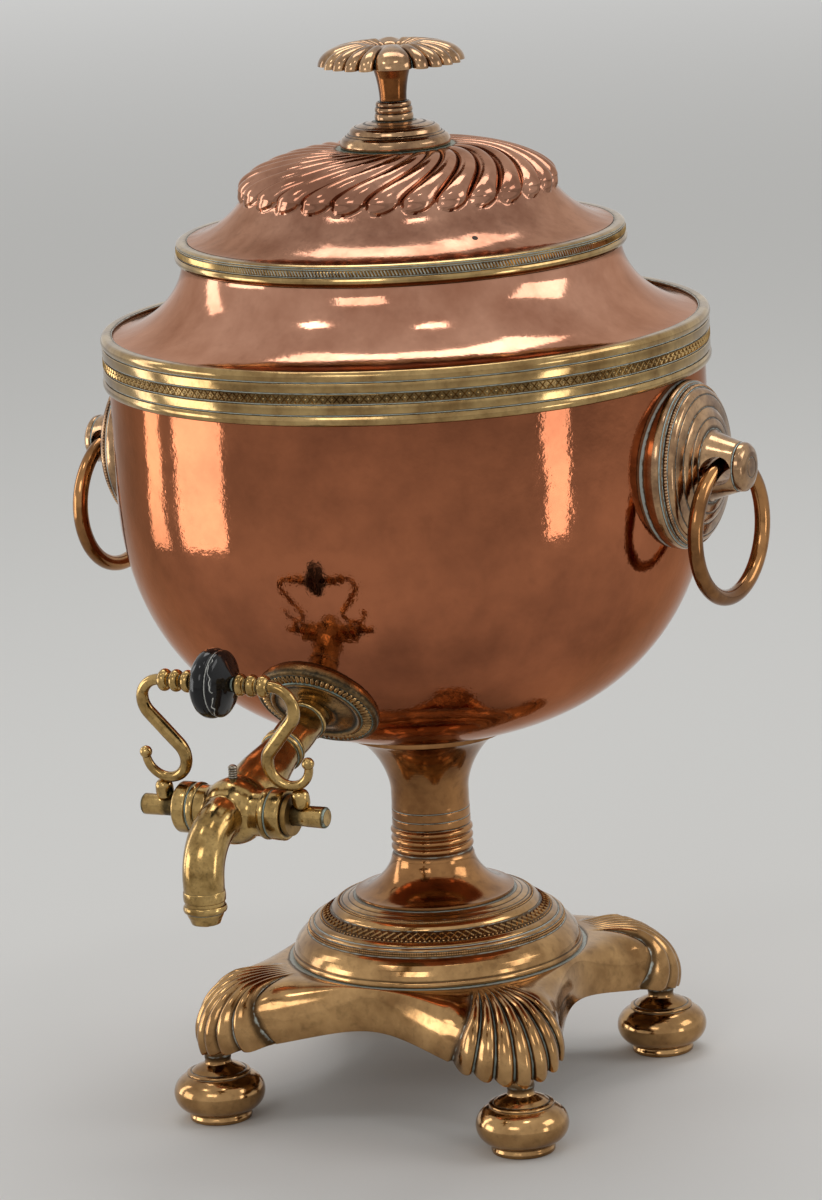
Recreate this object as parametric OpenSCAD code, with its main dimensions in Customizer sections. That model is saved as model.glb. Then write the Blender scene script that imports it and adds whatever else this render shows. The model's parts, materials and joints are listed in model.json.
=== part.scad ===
// Tea urn: a copper bowl with a lift-off lid, two ring handles and a tap,
// carried by a turned brass pedestal on a square plinth with bun feet.
// An iron slug, heated in the fire, stands in a tube inside the bowl.
// Z is up, the origin is on the urn's axis at floor level, and the tap points to -Y.

/* [Bowl] */
// Outside radius of the copper bowl
bowl_r = 115.5; // [112:0.5:120]
// Depth of the curved part of the bowl
bowl_depth = 109; // [104:1:114]
// Height of the straight wall above the curve
bowl_wall_h = 41; // [38:1:50]
// Fullness of the bowl's curve, where 2 is an ellipse
bowl_fullness = 2.35; // [2.2:0.05:2.5]
// Thickness of the copper sheet
sheet_t = 1.5; // [1:0.1:2]

/* [Shoulder and neck] */
// Height of the brass shoulder band
band_h = 20.5; // [18:0.5:24]
// How far the band stands out from the bowl
band_t = 2.4; // [1.8:0.1:3.5]
// How far the band reaches down below the bowl's rim
band_lap = 5.5; // [4:0.5:8]
// Outside radius of the neck at its mouth
neck_r = 85; // [80:0.5:90]
// Height of the neck from the shoulder's edge to its mouth
neck_h = 26.5; // [22:0.5:32]
// Fullness of the hollow sweep from shoulder to neck
neck_fullness = 1.7; // [1.5:0.05:2]

/* [Lid] */
// Height of the brass lid ring
lid_ring_h = 8.7; // [7:0.1:11]
// How far the lid ring stands out past the neck
lid_ring_lip = 2.4; // [1.5:0.1:4]
// Depth of the collar that drops into the neck
collar_h = 13; // [9:1:20]
// Thickness of the collar
collar_t = 1.2; // [0.8:0.1:2]
// Width of the hollow brim round the dome
brim_w = 23; // [19:0.5:26]
// Height that the brim rises to the dome's foot
brim_h = 18.5; // [12:0.5:20]
// Height of the dome above the brim
dome_h = 13.6; // [10:0.2:18]
// Number of swirled lobes beaten into the dome
lobes = 28; // [20:1:36]
// Height of the lobes at their round ends
lobe_h = 2.8; // [1.5:0.1:4]
// Turn of each lobe from its end to the finial, in degrees
lobe_twist = 45; // [20:1:60]

/* [Finial] */
// Radius of the stepped finial base
finial_base_r = 21.3; // [18:0.1:24]
// Height of the stepped finial base
finial_base_h = 10; // [9:0.5:13]
// Height of the finial stem
stem_h = 20.5; // [15:0.5:24]
// Radius of the stem at its thinnest
stem_r = 5.2; // [4.4:0.1:6]
// Radius of the flower
flower_r = 28.3; // [24:0.1:32]
// Height of the flower from its hub's seat to the tip of its eye
flower_h = 10; // [8:0.5:13]
// Number of petals
petals = 18; // [12:1:24]
// Radius of the finial's screwed rod
finial_rod_r = 2; // [1.5:0.1:2.5]

/* [Ring handles] */
// Radius of the handle boss
boss_r = 32; // [29:0.1:34]
// How far the boss stands out from the bowl
boss_len = 28; // [27:0.5:32]
// Radius of the boss's nose at its root
nose_r = 11.8; // [10.5:0.1:13]
// Distance of the ring's hole from the bowl
pivot_out = 17.6; // [17:0.1:18]
// Radius of the ring's centre line
ring_r = 26; // [24:0.5:30]
// Radius of the ring's bar
ring_bar_r = 3; // [2.4:0.1:3.6]
// Gap round the ring's bar in its hole
ring_gap = 0.5; // [0.3:0.1:0.6]
// How far askew the two rings hang, in degrees
ring_askew = 6; // [0:1:7]
// Height of the handle's centre above the bowl's curve
handle_up = 2.5; // [1:0.5:3]

/* [Tap] */
// Distance of the tap's barrel from the urn's axis
tap_reach = 157.5; // [152:0.5:162]
// Height of the tap's barrel above the bowl's lowest point
tap_up = 8.5; // [6:0.5:11]
// Slope of the tap's tube, in degrees
tap_dip = 18.5; // [16:0.5:22]
// Outside radius of the tap's tube
tube_r = 7.4; // [7:0.1:8.4]
// Radius of the water way through tube and spout
bore_r = 4; // [3.4:0.1:4.2]
// Radius of the port through the plug
port_r = 3.6; // [3:0.1:3.8]
// Length of the barrel across the tap
barrel_len = 44.5; // [42:0.5:50]
// Outside radius of the barrel's collars
barrel_r = 9.6; // [9:0.1:11]
// Radius of the ball where tube, barrel and spout meet
ball_r = 12.6; // [12:0.1:13.5]
// Radius of the plug's thick end
plug_r = 7; // [6.8:0.1:7.4]
// How much thinner the plug's other end is
plug_taper = 0.8; // [0.4:0.1:1]
// Running gap between plug and barrel
plug_gap = 0.06; // [0.02:0.01:0.1]
// Whole length of the plug with its two shanks
plug_len = 76.5; // [74:0.5:82]
// Radius of the plug's shanks
shank_r = 3.9; // [3.4:0.1:4.3]
// Radius of the spout
spout_r = 7.3; // [6.6:0.1:8]
// Distance of the spout's mouth forward of the barrel
spout_out = 26.5; // [24:0.5:30]
// Radius of the spout's bend
spout_bend_r = 19; // [16:0.5:20]
// Height of the barrel above the spout's tip
spout_drop = 35.5; // [34:0.5:42]
// Radius of the round plate behind the tap
plate_r = 24; // [20:0.5:26]
// Thickness of the plate at its middle
plate_t = 2.4; // [1.8:0.1:3.5]

/* [Tap key] */
// Height of the key's grip above the plug's axis
key_h = 51.5; // [48:0.5:58]
// Forward lean of the key as it stands, in degrees
key_lean = 11; // [0:1:25]
// Radius of the key's scrolled wire
wire_r = 2.5; // [2:0.1:2.9]
// Radius of the scroll's top bend
scroll_top_r = 8.3; // [7.5:0.1:9.5]
// Radius of the scroll's lower hook
scroll_hook_r = 8.4; // [7.8:0.1:9.4]
// Distance of the scroll's lower bend outside the barrel's end
hook_out = 3.15; // [3:0.05:5.5]
// Half the length of the grip between the scrolls
grip_half = 23; // [22.5:0.5:25]
// Radius of the beads on the grip
bead_r = 4.2; // [3.4:0.1:5]
// Radius of the wooden knob
knob_r = 13; // [11:0.5:15]
// Width of the wooden knob
knob_w = 16.5; // [13:0.5:20]

/* [Pedestal] */
// Height of the column from the foot to the bowl
column_h = 65.5; // [60:0.5:72]
// Radius of the column under the bowl and on the foot
column_flange_r = 31.5; // [28:0.5:34]
// Radius of the column's waist
waist_r = 15.4; // [14:0.1:18]
// Radius of each of the three reeds
reed_r = 1.7; // [1.2:0.1:2]
// Radius of the foot's lowest edge
foot_r = 57.5; // [54:0.5:60]
// Height of the domed foot
foot_h = 23.5; // [21:0.5:27]
// Wall of the cast foot and plinth
cast_t = 3; // [2.4:0.1:4]

/* [Plinth and feet] */
// Distance of each foot from the urn's middle, along X and along Y
foot_spread = 66; // [63:0.5:68]
// Height of the bun feet under the plinth
bun_h = 26; // [24:0.5:30]
// Radius of the bun feet
bun_r = 18; // [16:0.5:20]
// Height of the plinth from the feet to the foot's seat
plinth_rise = 30.5; // [27:0.5:36]
// Half the plinth's width at the middle of a side
side_half = 61; // [60.5:0.5:63]
// How far the plinth's corners reach past the feet
corner_over = 6; // [5:0.5:9]
// Number of flutes in each corner's shell
flutes = 7; // [5:2:9]
// Depth of the flutes
flute_h = 1.8; // [1:0.1:2.4]

/* [Heater] */
// Outside radius of the heater tube
heater_r = 26; // [22:0.5:30]
// Height of the heater tube's mouth below the shoulder's edge
heater_down = 15; // [12:0.5:24]
// Gap round the slug in its tube
slug_gap = 1.5; // [0.8:0.1:2.5]
// Gap between the slug's ring and the cover's knob above it
slug_top_gap = 3; // [1:0.5:20]

/* [Fasteners] */
// Radius of the tie rod through the pedestal
tie_rod_r = 3.5; // [3:0.1:4]
// Radius of the small screwed studs
stud_r = 2.5; // [2:0.1:3]
// Thickness of the washers
washer_t = 1.2; // [1:0.1:2]

/* [Hidden] */
// Gap between pieces that are fixed to each other
fit = 0.1;
// Gap between pieces that lift off or turn
free_gap = 0.3;
$fn = 96;
steps = 18;

// Heights, built up from the floor
seat_z = bun_h + plinth_rise;
foot_top_z = seat_z + foot_h;
pole_z = foot_top_z + column_h;
equator_z = pole_z + bowl_depth;
rim_z = equator_z + bowl_wall_h;
band_z = rim_z - band_lap;
shoulder_z = band_z + band_h - 1.1;
mouth_z = shoulder_z + neck_h;
lid_z = mouth_z + free_gap;
lid_edge_z = lid_z + lid_ring_h;
dome_foot_z = lid_edge_z + brim_h;
dome_top_z = dome_foot_z + dome_h;
stem_z = dome_top_z + finial_base_h;
flower_z = stem_z + stem_h;

// Radii that follow from the pieces that carry them
bowl_in_r = bowl_r - sheet_t;
shoulder_r = bowl_in_r - fit;
neck_in_r = neck_r - sheet_t;
collar_r = neck_in_r - free_gap - fit;
lid_ring_r = neck_r + lid_ring_lip;
lid_edge_r = lid_ring_r - 5.2;
dome_foot_r = lid_edge_r - brim_w;
dome_flat_r = finial_base_r + 1;
lobe_end_r = dome_foot_r + 1.8;

// Handles
handle_z = equator_z + handle_up;
pivot_x = bowl_r + pivot_out;
ring_mouth = nose_r + 0.6;
ring_sag = ring_r - sqrt(ring_r * ring_r - ring_mouth * ring_mouth);
ring_hole_r = ring_bar_r + norm([ring_sag / 2, ring_mouth * sin(ring_askew)]) + ring_gap;
ring_z = handle_z - ring_r + ring_sag / 2;

// Tap
tap_z = pole_z + tap_up;
barrel_half = barrel_len / 2;
spout_tip_z = -spout_drop;

// Key
hook_x = barrel_half + hook_out;
key_wire_dx = hook_x - grip_half;
key_hook_z = shank_r + 5.5 + wire_r + scroll_hook_r;
key_top_z = key_h - scroll_top_r;

// Heater
heater_in_r = heater_r - sheet_t;
heater_top_z = shoulder_z - heater_down;
heater_floor_z = pole_z + 20;
slug_r = heater_in_r - slug_gap;
cover_z = heater_top_z + free_gap;
knob_root = 3;
slug_z = heater_floor_z + free_gap;
eye_r = 6;
eye_bar_r = 2;
eye_lift = eye_r + 2.6;
slug_h = cover_z - knob_root - slug_top_gap - eye_lift - eye_r - eye_bar_r - slug_z;

// Plinth
corner_r = foot_spread * sqrt(2) + corner_over;
fan_r = 22;
fan_c = corner_r - fan_r;
fan_top_w = 6;
fan_edge_w = 15.5;
plinth_seat_r = foot_r + 1.2;

// Hexagon nuts: half their width across the corners for a rod of radius r
function nut_r(r) = 1.95 * r;

// A quarter of a superellipse from [a, 0] to [0, b], in n steps
function quarter(a, b, p, n) = [for (i = [0:n]) let (t = 90 * i / n)
    [a * pow(cos(t), 2 / p), b * pow(sin(t), 2 / p)]];

function backwards(list) = [for (i = [len(list) - 1:-1:0]) list[i]];

// Outside radius of the bowl at height z
function bowl_radius(z) = z >= equator_z ? bowl_r
    : bowl_r * pow(1 - pow(min(1, (equator_z - z) / bowl_depth), bowl_fullness),
                   1 / bowl_fullness);

// Distance from the barrel along the sloping tube to the bowl's outside, by halving
function tube_meets_bowl(lo, hi, n) = n == 0 ? (lo + hi) / 2
    : let (mid = (lo + hi) / 2,
           outside = tap_reach - mid * cos(tap_dip)
                     > bowl_radius(tap_z + mid * sin(tap_dip)))
      outside ? tube_meets_bowl(mid, hi, n - 1) : tube_meets_bowl(lo, mid, n - 1);

tube_len = tube_meets_bowl(20, 100, 24);
plate_y = -(tap_reach - tube_len * cos(tap_dip));
plate_z = tap_z + tube_len * sin(tap_dip);

// Slope of the bowl's skin where the tube meets it
skin_u = (equator_z - plate_z) / bowl_depth;
skin_dip = atan2(pow(skin_u, bowl_fullness - 1) / bowl_depth,
                 pow(-plate_y / bowl_r, bowl_fullness - 1) / bowl_r);

copper = [0.66, 0.36, 0.26];
brass = [0.71, 0.55, 0.31];
bronze = [0.62, 0.43, 0.26];
iron = [0.27, 0.26, 0.26];
ebony = [0.06, 0.06, 0.07];

// Bowl and shoulder

// Half section of the whole bowl, grown outwards by grow, with its top at top_z
module bowl_area(grow, top_z) {
    curve = quarter(bowl_r + grow, bowl_depth + grow, bowl_fullness, steps);
    polygon(concat([[0, top_z], [bowl_r + grow, top_z]],
                   [for (p = curve) [p[0], equator_z - p[1]]]));
}

module bowl_solid(grow) {
    rotate_extrude() bowl_area(grow, rim_z + 20);
}

// Turns the X axis of its children out from the bowl, for side 1 right and side -1 left
module on_side(side) {
    translate([0, 0, handle_z])
        mirror([side < 0 ? 1 : 0, 0, 0])
            rotate([0, 90, 0]) children();
}

module bowl() {
    color(copper) difference() {
        rotate_extrude() difference() {
            bowl_area(0, rim_z);
            bowl_area(-sheet_t, rim_z + 1);
        }
        translate([0, 0, pole_z - 5]) cylinder(r = tie_rod_r + fit, h = 10);
        for (side = [-1, 1])
            on_side(side) cylinder(r = stud_r + fit, h = bowl_r + 5);
        tube_frame() cylinder(r = tube_r + fit, h = tube_len + 30);
    }
}

module shoulder_neck() {
    sweep_w = shoulder_r - neck_r;
    outside = quarter(sweep_w, neck_h, neck_fullness, steps);
    inside = quarter(sweep_w, neck_h + sheet_t, neck_fullness, steps);
    color(copper) rotate_extrude() polygon(concat(
        [[shoulder_r - sheet_t, rim_z - 8], [shoulder_r, rim_z - 8]],
        [for (p = backwards(outside)) [shoulder_r - p[0], mouth_z - p[1]]],
        [for (p = inside) [shoulder_r - sheet_t - p[0], mouth_z - p[1]]]));
}

module shoulder_band() {
    top_z = band_z + band_h;
    out_r = bowl_r + band_t;
    line_d = 0.6;
    pitch = band_h / 5;
    color(brass) rotate_extrude() polygon([
        [bowl_r + fit, band_z], [out_r - 1, band_z], [out_r, band_z + 1],
        [out_r, band_z + pitch - 0.5], [out_r - line_d, band_z + pitch],
        [out_r, band_z + pitch + 0.5],
        [out_r, band_z + 2 * pitch - 0.5], [out_r - line_d, band_z + 2 * pitch],
        [out_r - line_d, band_z + 3 * pitch], [out_r, band_z + 3 * pitch + 0.5],
        [out_r, band_z + 4 * pitch - 0.5], [out_r - line_d, band_z + 4 * pitch],
        [out_r, band_z + 4 * pitch + 0.5],
        [out_r, top_z - 1], [out_r - 1, top_z], [shoulder_r - 0.7, top_z],
        [shoulder_r - 0.7, shoulder_z + fit], [shoulder_r + fit, shoulder_z + fit],
        [shoulder_r + fit, rim_z + fit], [bowl_r + fit, rim_z + fit]]);
}

// Lid

// Base radius and height of the dome at row k of n, before the lobes are raised
function brim_point(t) = [lid_edge_r - brim_w * pow(sin(t), 4 / 3),
                          dome_foot_z - brim_h * pow(cos(t), 4 / 3)];
function dome_point(t) = [dome_flat_r + (dome_foot_r - dome_flat_r) * pow(cos(t), 1.3),
                          dome_foot_z + dome_h * pow(sin(t), 1.3)];
brim_rows = 4;
dome_rows = 9;
lobe_cols = 4;
lid_cols = lobes * lobe_cols;
function lid_row(k) = k <= brim_rows ? brim_point(90 * k / brim_rows)
                                     : dome_point(90 * (k - brim_rows) / dome_rows);
// How far along a lobe row k lies: 0 at its round end, 1 at the finial
function lobe_along(k) = max(0, (lobe_end_r - lid_row(k)[0]) / (lobe_end_r - dome_flat_r));
function lobe_bump(j) = pow(abs(sin(180 * j / lobe_cols)), 0.7);
function lobe_rise(k, j) = let (s = lobe_along(k))
    s <= 0 || s >= 1 ? 0 : lobe_h * lobe_bump(j) * (1 - 0.8 * s) * min(1, 12 * s);
function lid_vertex(k, j) = let (p = lid_row(k), h = lobe_rise(k, j),
        lean = 90 * lobe_along(k), a = 360 * j / lid_cols + lobe_twist * lobe_along(k),
        r = p[0] + h * cos(lean))
    [r * cos(a), r * sin(a), p[1] + h * sin(lean)];

// Triangles between ring a and ring b, each of n points numbered anticlockwise from below
function ring_faces(a, b, n) = [for (j = [0:n - 1]) let (i = (j + 1) % n)
    each [[a + j, b + j, b + i], [a + j, b + i, a + i]]];

module lid_dome() {
    rows = brim_rows + dome_rows;
    foot = [for (j = [0:lid_cols - 1]) let (a = 360 * j / lid_cols)
        [lid_edge_r * cos(a), lid_edge_r * sin(a), lid_edge_z - sheet_t]];
    skin = [for (k = [0:rows]) each [for (j = [0:lid_cols - 1]) lid_vertex(k, j)]];
    color(copper) difference() {
        polyhedron(
            points = concat(foot, skin),
            faces = concat(
                [[for (j = [0:lid_cols - 1]) j]],
                [for (k = [0:rows]) each ring_faces(k * lid_cols, (k + 1) * lid_cols, lid_cols)],
                [[for (j = [lid_cols - 1:-1:0]) (rows + 1) * lid_cols + j]]),
            convexity = 6);
        rotate_extrude() polygon(concat(
            [[0, lid_edge_z - sheet_t - 1], [lid_edge_r - 3, lid_edge_z - sheet_t - 1]],
            [for (k = [0:2]) let (p = brim_point(90 * k / 2.4)) [p[0] - 3, p[1] - sheet_t]],
            [for (k = [0:4]) let (p = dome_point(90 * k / 4)) [p[0] - 2 * sheet_t, p[1] - sheet_t]],
            [[0, dome_top_z - sheet_t]]));
        translate([0, 0, dome_top_z - 5]) cylinder(r = finial_rod_r + fit, h = 10);
    }
}

module lid_ring() {
    ledge_z = lid_edge_z - sheet_t - fit;
    h = lid_ring_h;
    r = lid_ring_r;
    color(brass) rotate_extrude() polygon([
        [collar_r + fit, lid_z], [neck_r + 0.4, lid_z], [r - 0.6, lid_z + 0.14 * h],
        [r, lid_z + 0.32 * h], [r - 0.8, lid_z + 0.46 * h], [r - 0.8, lid_z + 0.78 * h],
        [r - 0.3, lid_z + 0.86 * h], [r - 1.8, lid_z + 0.97 * h], [lid_edge_r + fit, lid_z + h],
        [lid_edge_r + fit, ledge_z], [collar_r - 2.6, ledge_z],
        [collar_r - 2.6, lid_z + 2 + fit], [collar_r + fit, lid_z + 2 + fit]]);
}

module lid_collar() {
    color(brass) rotate_extrude()
        translate([collar_r - collar_t, lid_z + 2 - collar_h])
            square([collar_t, collar_h]);
}

// Finial

module finial_base() {
    r = finial_base_r;
    h = finial_base_h;
    color(brass) translate([0, 0, dome_top_z]) difference() {
        rotate_extrude() polygon([[0, 0], [r - 0.8, 0], [r, 0.1 * h], [r, 0.27 * h],
            [r - 1.4, 0.4 * h], [0.8 * r, 0.46 * h], [0.78 * r, 0.52 * h], [0.78 * r, 0.62 * h],
            [0.6 * r, 0.8 * h], [0.4 * r, 0.94 * h], [0.37 * r, h], [0, h]]);
        translate([0, 0, -1]) cylinder(r = finial_rod_r + fit, h = h + 2);
    }
}

module finial_stem() {
    r = stem_r;
    h = stem_h;
    color(bronze) translate([0, 0, stem_z]) difference() {
        rotate_extrude() polygon(concat(
            [[0, 0], [r + 1.7, 0]],
            [for (i = [0:2]) each [[r + 1.9, (0.03 + 0.11 * i) * h], [r + 1.9, (0.1 + 0.11 * i) * h],
                                   [r + 1.2, (0.12 + 0.11 * i) * h]]],
            [[r + 0.2, 0.38 * h], [r, 0.46 * h], [r + 0.3, 0.62 * h], [r + 1, 0.8 * h],
             [r + 2.2, h], [0, h]]));
        translate([0, 0, -1]) cylinder(r = finial_rod_r + fit, h = h - 2);
    }
}

// Flower: height of its upper face at radius share s, its ridged petals and its underside
petal_cols = 4;
flower_cols = petals * petal_cols;
flower_rows = [0.18, 0.3, 0.5, 0.68, 0.82, 0.93, 1];
under_rows = [0.97, 0.75, 0.45, 0.28];
function petal_bump(j) = abs(sin(180 * j / petal_cols));
function flower_top(s) = flower_h * (0.86 - 0.12 * sin(180 * min(1, s / 0.5)) * (s < 0.5 ? 1 : 0)
    - 0.62 * pow(max(0, s - 0.55) / 0.45, 2));
function flower_edge(s, j) = flower_r * s * (1 - 0.07 * s * (1 - petal_bump(j)));
function flower_vertex(s, j, drop) = let (a = 360 * j / flower_cols, r = flower_edge(s, j),
        ridge = 0.11 * flower_h * s * petal_bump(j))
    [r * cos(a), r * sin(a), flower_top(s) + ridge - drop];

module finial_flower() {
    n = flower_cols;
    eye = [[0, 0, flower_h]];
    tops = [for (s = flower_rows) each [for (j = [0:n - 1]) flower_vertex(s, j, 0)]];
    unders = [for (s = under_rows) each [for (j = [0:n - 1])
        flower_vertex(s, j, s > 0.9 ? 1.4 : 2.2)]];
    hub = [for (j = [0:n - 1]) let (a = 360 * j / n, r = stem_r + 2.2) [r * cos(a), r * sin(a), 0]];
    rings = len(flower_rows) + len(under_rows);
    color(bronze) translate([0, 0, flower_z]) polyhedron(
        points = concat(eye, tops, unders, hub),
        faces = concat(
            [for (j = [0:n - 1]) [0, 1 + (j + 1) % n, 1 + j]],
            [for (k = [0:rings - 1]) each ring_faces(1 + (k + 1) * n, 1 + k * n, n)],
            [[for (j = [0:n - 1]) 1 + rings * n + j]]),
        convexity = 6);
}

module finial_rod() {
    low_z = dome_top_z - sheet_t - washer_t - 8;
    color(brass) translate([0, 0, low_z])
        cylinder(r = finial_rod_r, h = stem_z + stem_h - 4 - low_z);
}

module finial_nut() {
    top_z = dome_top_z - sheet_t - fit;
    color(brass) difference() {
        union() {
            translate([0, 0, top_z - washer_t]) cylinder(r = 3 * finial_rod_r, h = washer_t);
            translate([0, 0, top_z - washer_t - 4])
                cylinder(r = nut_r(finial_rod_r), h = 4, $fn = 6);
        }
        translate([0, 0, top_z - 10]) cylinder(r = finial_rod_r + fit / 2, h = 20);
    }
}

// Ring handles

// One boss along +X: stepped mouldings, a nose with a cross hole, and a blind stud hole
module handle_boss(side) {
    b = bowl_r;
    r = boss_r;
    n = nose_r;
    e = boss_len;
    color(bronze) difference() {
        on_side(side) rotate_extrude() polygon([
            [0, b - 8], [r - 2.5, b - 8], [r - 2.5, b - 2.2], [r - 0.4, b - 2.2], [r, b - 1.8],
            [r, b - 0.6], [r - 0.7, b + 0.2], [r + 0.1, b + 0.6], [r + 0.4, b + 1.9],
            [r + 0.1, b + 3.2], [r - 0.6, b + 4.2], [r - 1.7, b + 4.9], [r - 1.7, b + 5.9],
            [0.91 * r, b + 6.4], [0.9 * r, b + 7.6], [0.84 * r, b + 8.6], [0.7 * r, b + 9.3],
            [0.67 * r, b + 10.2], [0.58 * r, b + 10.9], [0.55 * r, b + 11.4],
            [n + 2, b + 12], [n + 1.1, b + 13.2], [n - 2.3, b + e - 5], [n - 3.1, b + e - 4.5],
            [n - 2.3, b + e - 3.7], [n - 2.8, b + e - 2], [n - 5, b + e - 0.7],
            [n - 8, b + e], [0, b + e]]);
        bowl_solid(fit / 2);
        translate([side * pivot_x, -boss_r, handle_z]) rotate([-90, 0, 0])
            cylinder(r = ring_hole_r, h = 2 * boss_r);
        on_side(side) cylinder(r = stud_r + fit / 2, h = b + 10);
    }
}

module handle_ring(side) {
    color(bronze) translate([side * pivot_x, 0, ring_z]) rotate([0, 90, -ring_askew])
        rotate_extrude() translate([ring_r, 0]) circle(r = ring_bar_r, $fn = 32);
}

module boss_studs() {
    color(brass) for (side = [-1, 1])
        on_side(side) translate([0, 0, bowl_in_r - 3.6 * stud_r])
            cylinder(r = stud_r, h = sheet_t + 7.2 * stud_r);
}

module boss_nuts() {
    washer_r = 2.8 * stud_r;
    wall_x = sqrt(bowl_in_r * bowl_in_r - washer_r * washer_r) - fit;
    color(brass) for (side = [-1, 1])
        on_side(side) difference() {
            union() {
                translate([0, 0, wall_x - washer_t]) cylinder(r = washer_r, h = washer_t);
                translate([0, 0, wall_x - washer_t - 4])
                    cylinder(r = nut_r(stud_r), h = 4, $fn = 6);
            }
            cylinder(r = stud_r + fit / 2, h = bowl_r);
        }
}

// Tap

// Origin at the barrel, Z up the sloping tube towards the bowl
module tube_frame() {
    translate([0, -tap_reach, tap_z]) rotate([tap_dip - 90, 0, 0]) children();
}

// Origin where the tube meets the bowl, Z out of the bowl along its skin's normal
module plate_frame() {
    translate([0, plate_y, plate_z]) rotate([90 + skin_dip, 0, 0]) children();
}

module tap_plate() {
    r = plate_r;
    t = plate_t;
    color(brass) difference() {
        plate_frame() rotate_extrude() polygon([[0, -9], [r - 0.6, -9], [r, -8], [r, -0.4],
            [r - 0.9, 0.7], [r - 1.6, 0.7], [r - 2, 0.2], [r - 5.4, 1.2], [r - 6, 2],
            [r - 7, 1.9], [r - 8, t * 0.55], [tube_r + 3, t], [0, t]]);
        bowl_solid(fit / 2);
        tube_frame() cylinder(r = tube_r + fit, h = tube_len + 20);
    }
}

module tap_body() {
    l = tube_len;
    t = tube_r;
    bend_y = -(spout_out - spout_bend_r);
    color(brass) difference() {
        union() {
            tube_frame() rotate_extrude() polygon([[0, 0], [0.8 * ball_r, 4], [ball_r - 1, 8],
                [t + 2, 12.5], [t + 2.4, 16], [t + 2.4, 0.3 * l], [t + 1.6, 0.38 * l],
                [t + 0.5, 0.48 * l], [t, 0.54 * l], [t + 1, 0.553 * l], [t + 1.1, 0.567 * l],
                [t + 0.4, 0.577 * l], [t + 1, 0.587 * l], [t + 0.9, 0.6 * l], [t, 0.615 * l],
                [t + 0.35, 0.72 * l], [t, 0.83 * l], [t + 0.9, 0.85 * l], [t + 0.9, 0.87 * l],
                [t, 0.885 * l], [t, l + 16], [0, l + 16]]);
            translate([0, -tap_reach, tap_z]) {
                sphere(r = ball_r);
                rotate([0, 90, 0]) rotate_extrude() for (m = [0, 1]) mirror([0, m])
                    polygon([[0, 0], [barrel_r - 0.8, 0], [barrel_r - 0.8, barrel_half - 9],
                        [barrel_r, barrel_half - 8.4], [barrel_r, barrel_half - 6.4],
                        [barrel_r - 0.7, barrel_half - 5.8], [barrel_r, barrel_half - 5.2],
                        [barrel_r, barrel_half - 0.6], [barrel_r - 0.6, barrel_half],
                        [0, barrel_half]]);
                translate([0, bend_y, -spout_bend_r]) rotate([0, -90, 0])
                    rotate([0, 0, 180]) mirror([1, 0, 0]) rotate_extrude(angle = 90)
                        translate([spout_bend_r, 0]) circle(r = spout_r + 0.5, $fn = 48);
                translate([0, bend_y, 0]) rotate([-90, 0, 0])
                    cylinder(r = spout_r + 0.5, h = -bend_y);
                translate([0, -spout_out, spout_tip_z]) rotate_extrude() polygon([
                    [0, 0], [bore_r + 1.2, 0], [spout_r - 1, 2.6], [spout_r - 0.6, 4],
                    [spout_r + 0.7, 4.8], [spout_r + 0.9, 6.2], [spout_r + 0.2, 7.8],
                    [spout_r - 0.4, 8.2], [spout_r + 0.5, 9], [spout_r + 0.6, 12.4],
                    [spout_r - 0.1, 13], [spout_r + 0.2, 14.2],
                    [spout_r + 0.5, -spout_bend_r - spout_tip_z],
                    [0, -spout_bend_r - spout_tip_z]]);
            }
        }
        tube_frame() cylinder(r = bore_r, h = l + 30);
        translate([0, -tap_reach, tap_z]) {
            translate([-barrel_half - 1, 0, 0]) rotate([0, 90, 0])
                cylinder(r1 = plug_r + plug_gap, r2 = plug_r - plug_taper + plug_gap,
                         h = barrel_len + 2);
            translate([0, bend_y, -spout_bend_r]) rotate([0, -90, 0])
                rotate([0, 0, 180]) mirror([1, 0, 0]) rotate_extrude(angle = 90)
                    translate([spout_bend_r, 0]) circle(r = bore_r, $fn = 48);
            translate([0, bend_y, 0]) rotate([-90, 0, 0]) cylinder(r = bore_r, h = -bend_y);
            translate([0, -spout_out, spout_tip_z - 1])
                cylinder(r = bore_r, h = -spout_bend_r - spout_tip_z + 1);
            translate([0, 0, ball_r - 3.2]) cylinder(r = 1.8, h = 10);
            translate([0, 0, plug_r - 1.5]) cylinder(r = 1, h = ball_r - plug_r);
        }
    }
}

module tap_screw() {
    color(iron) translate([0, -tap_reach, tap_z + ball_r - 3.1]) difference() {
        cylinder(r = 1.8 - fit / 2, h = 8);
        translate([-3, -0.4, 7]) cube([6, 0.8, 2]);
    }
}

// The plug turns with the key, so it is drawn in the key's own leaning frame
module key_frame() {
    translate([0, -tap_reach, tap_z]) rotate([key_lean, 0, 0]) children();
}

module tap_plug() {
    shut_angle = tap_dip / 2 - 90 - key_lean;
    color(brass) key_frame() difference() {
        union() {
            translate([-barrel_half, 0, 0]) rotate([0, 90, 0])
                cylinder(r1 = plug_r, r2 = plug_r - plug_taper, h = barrel_len);
            translate([-plug_len / 2, 0, 0]) rotate([0, 90, 0])
                cylinder(r = shank_r, h = plug_len);
            for (m = [0, 1]) mirror([m, 0, 0]) translate([plug_len / 2 - 2.4, 0, 0])
                rotate([0, 90, 0]) rotate_extrude() polygon([[0, 0], [shank_r + 0.5, 0],
                    [shank_r + 0.5, 1.6], [shank_r - 0.4, 2.4], [0, 2.4]]);
        }
        rotate([shut_angle + 90, 0, 0]) cylinder(r = port_r, h = 4 * plug_r, center = true);
        for (m = [0, 1]) mirror([m, 0, 0]) translate([hook_x + 3, 0, 0])
            cylinder(r = 1 + fit / 2, h = shank_r + 1);
    }
}

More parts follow.
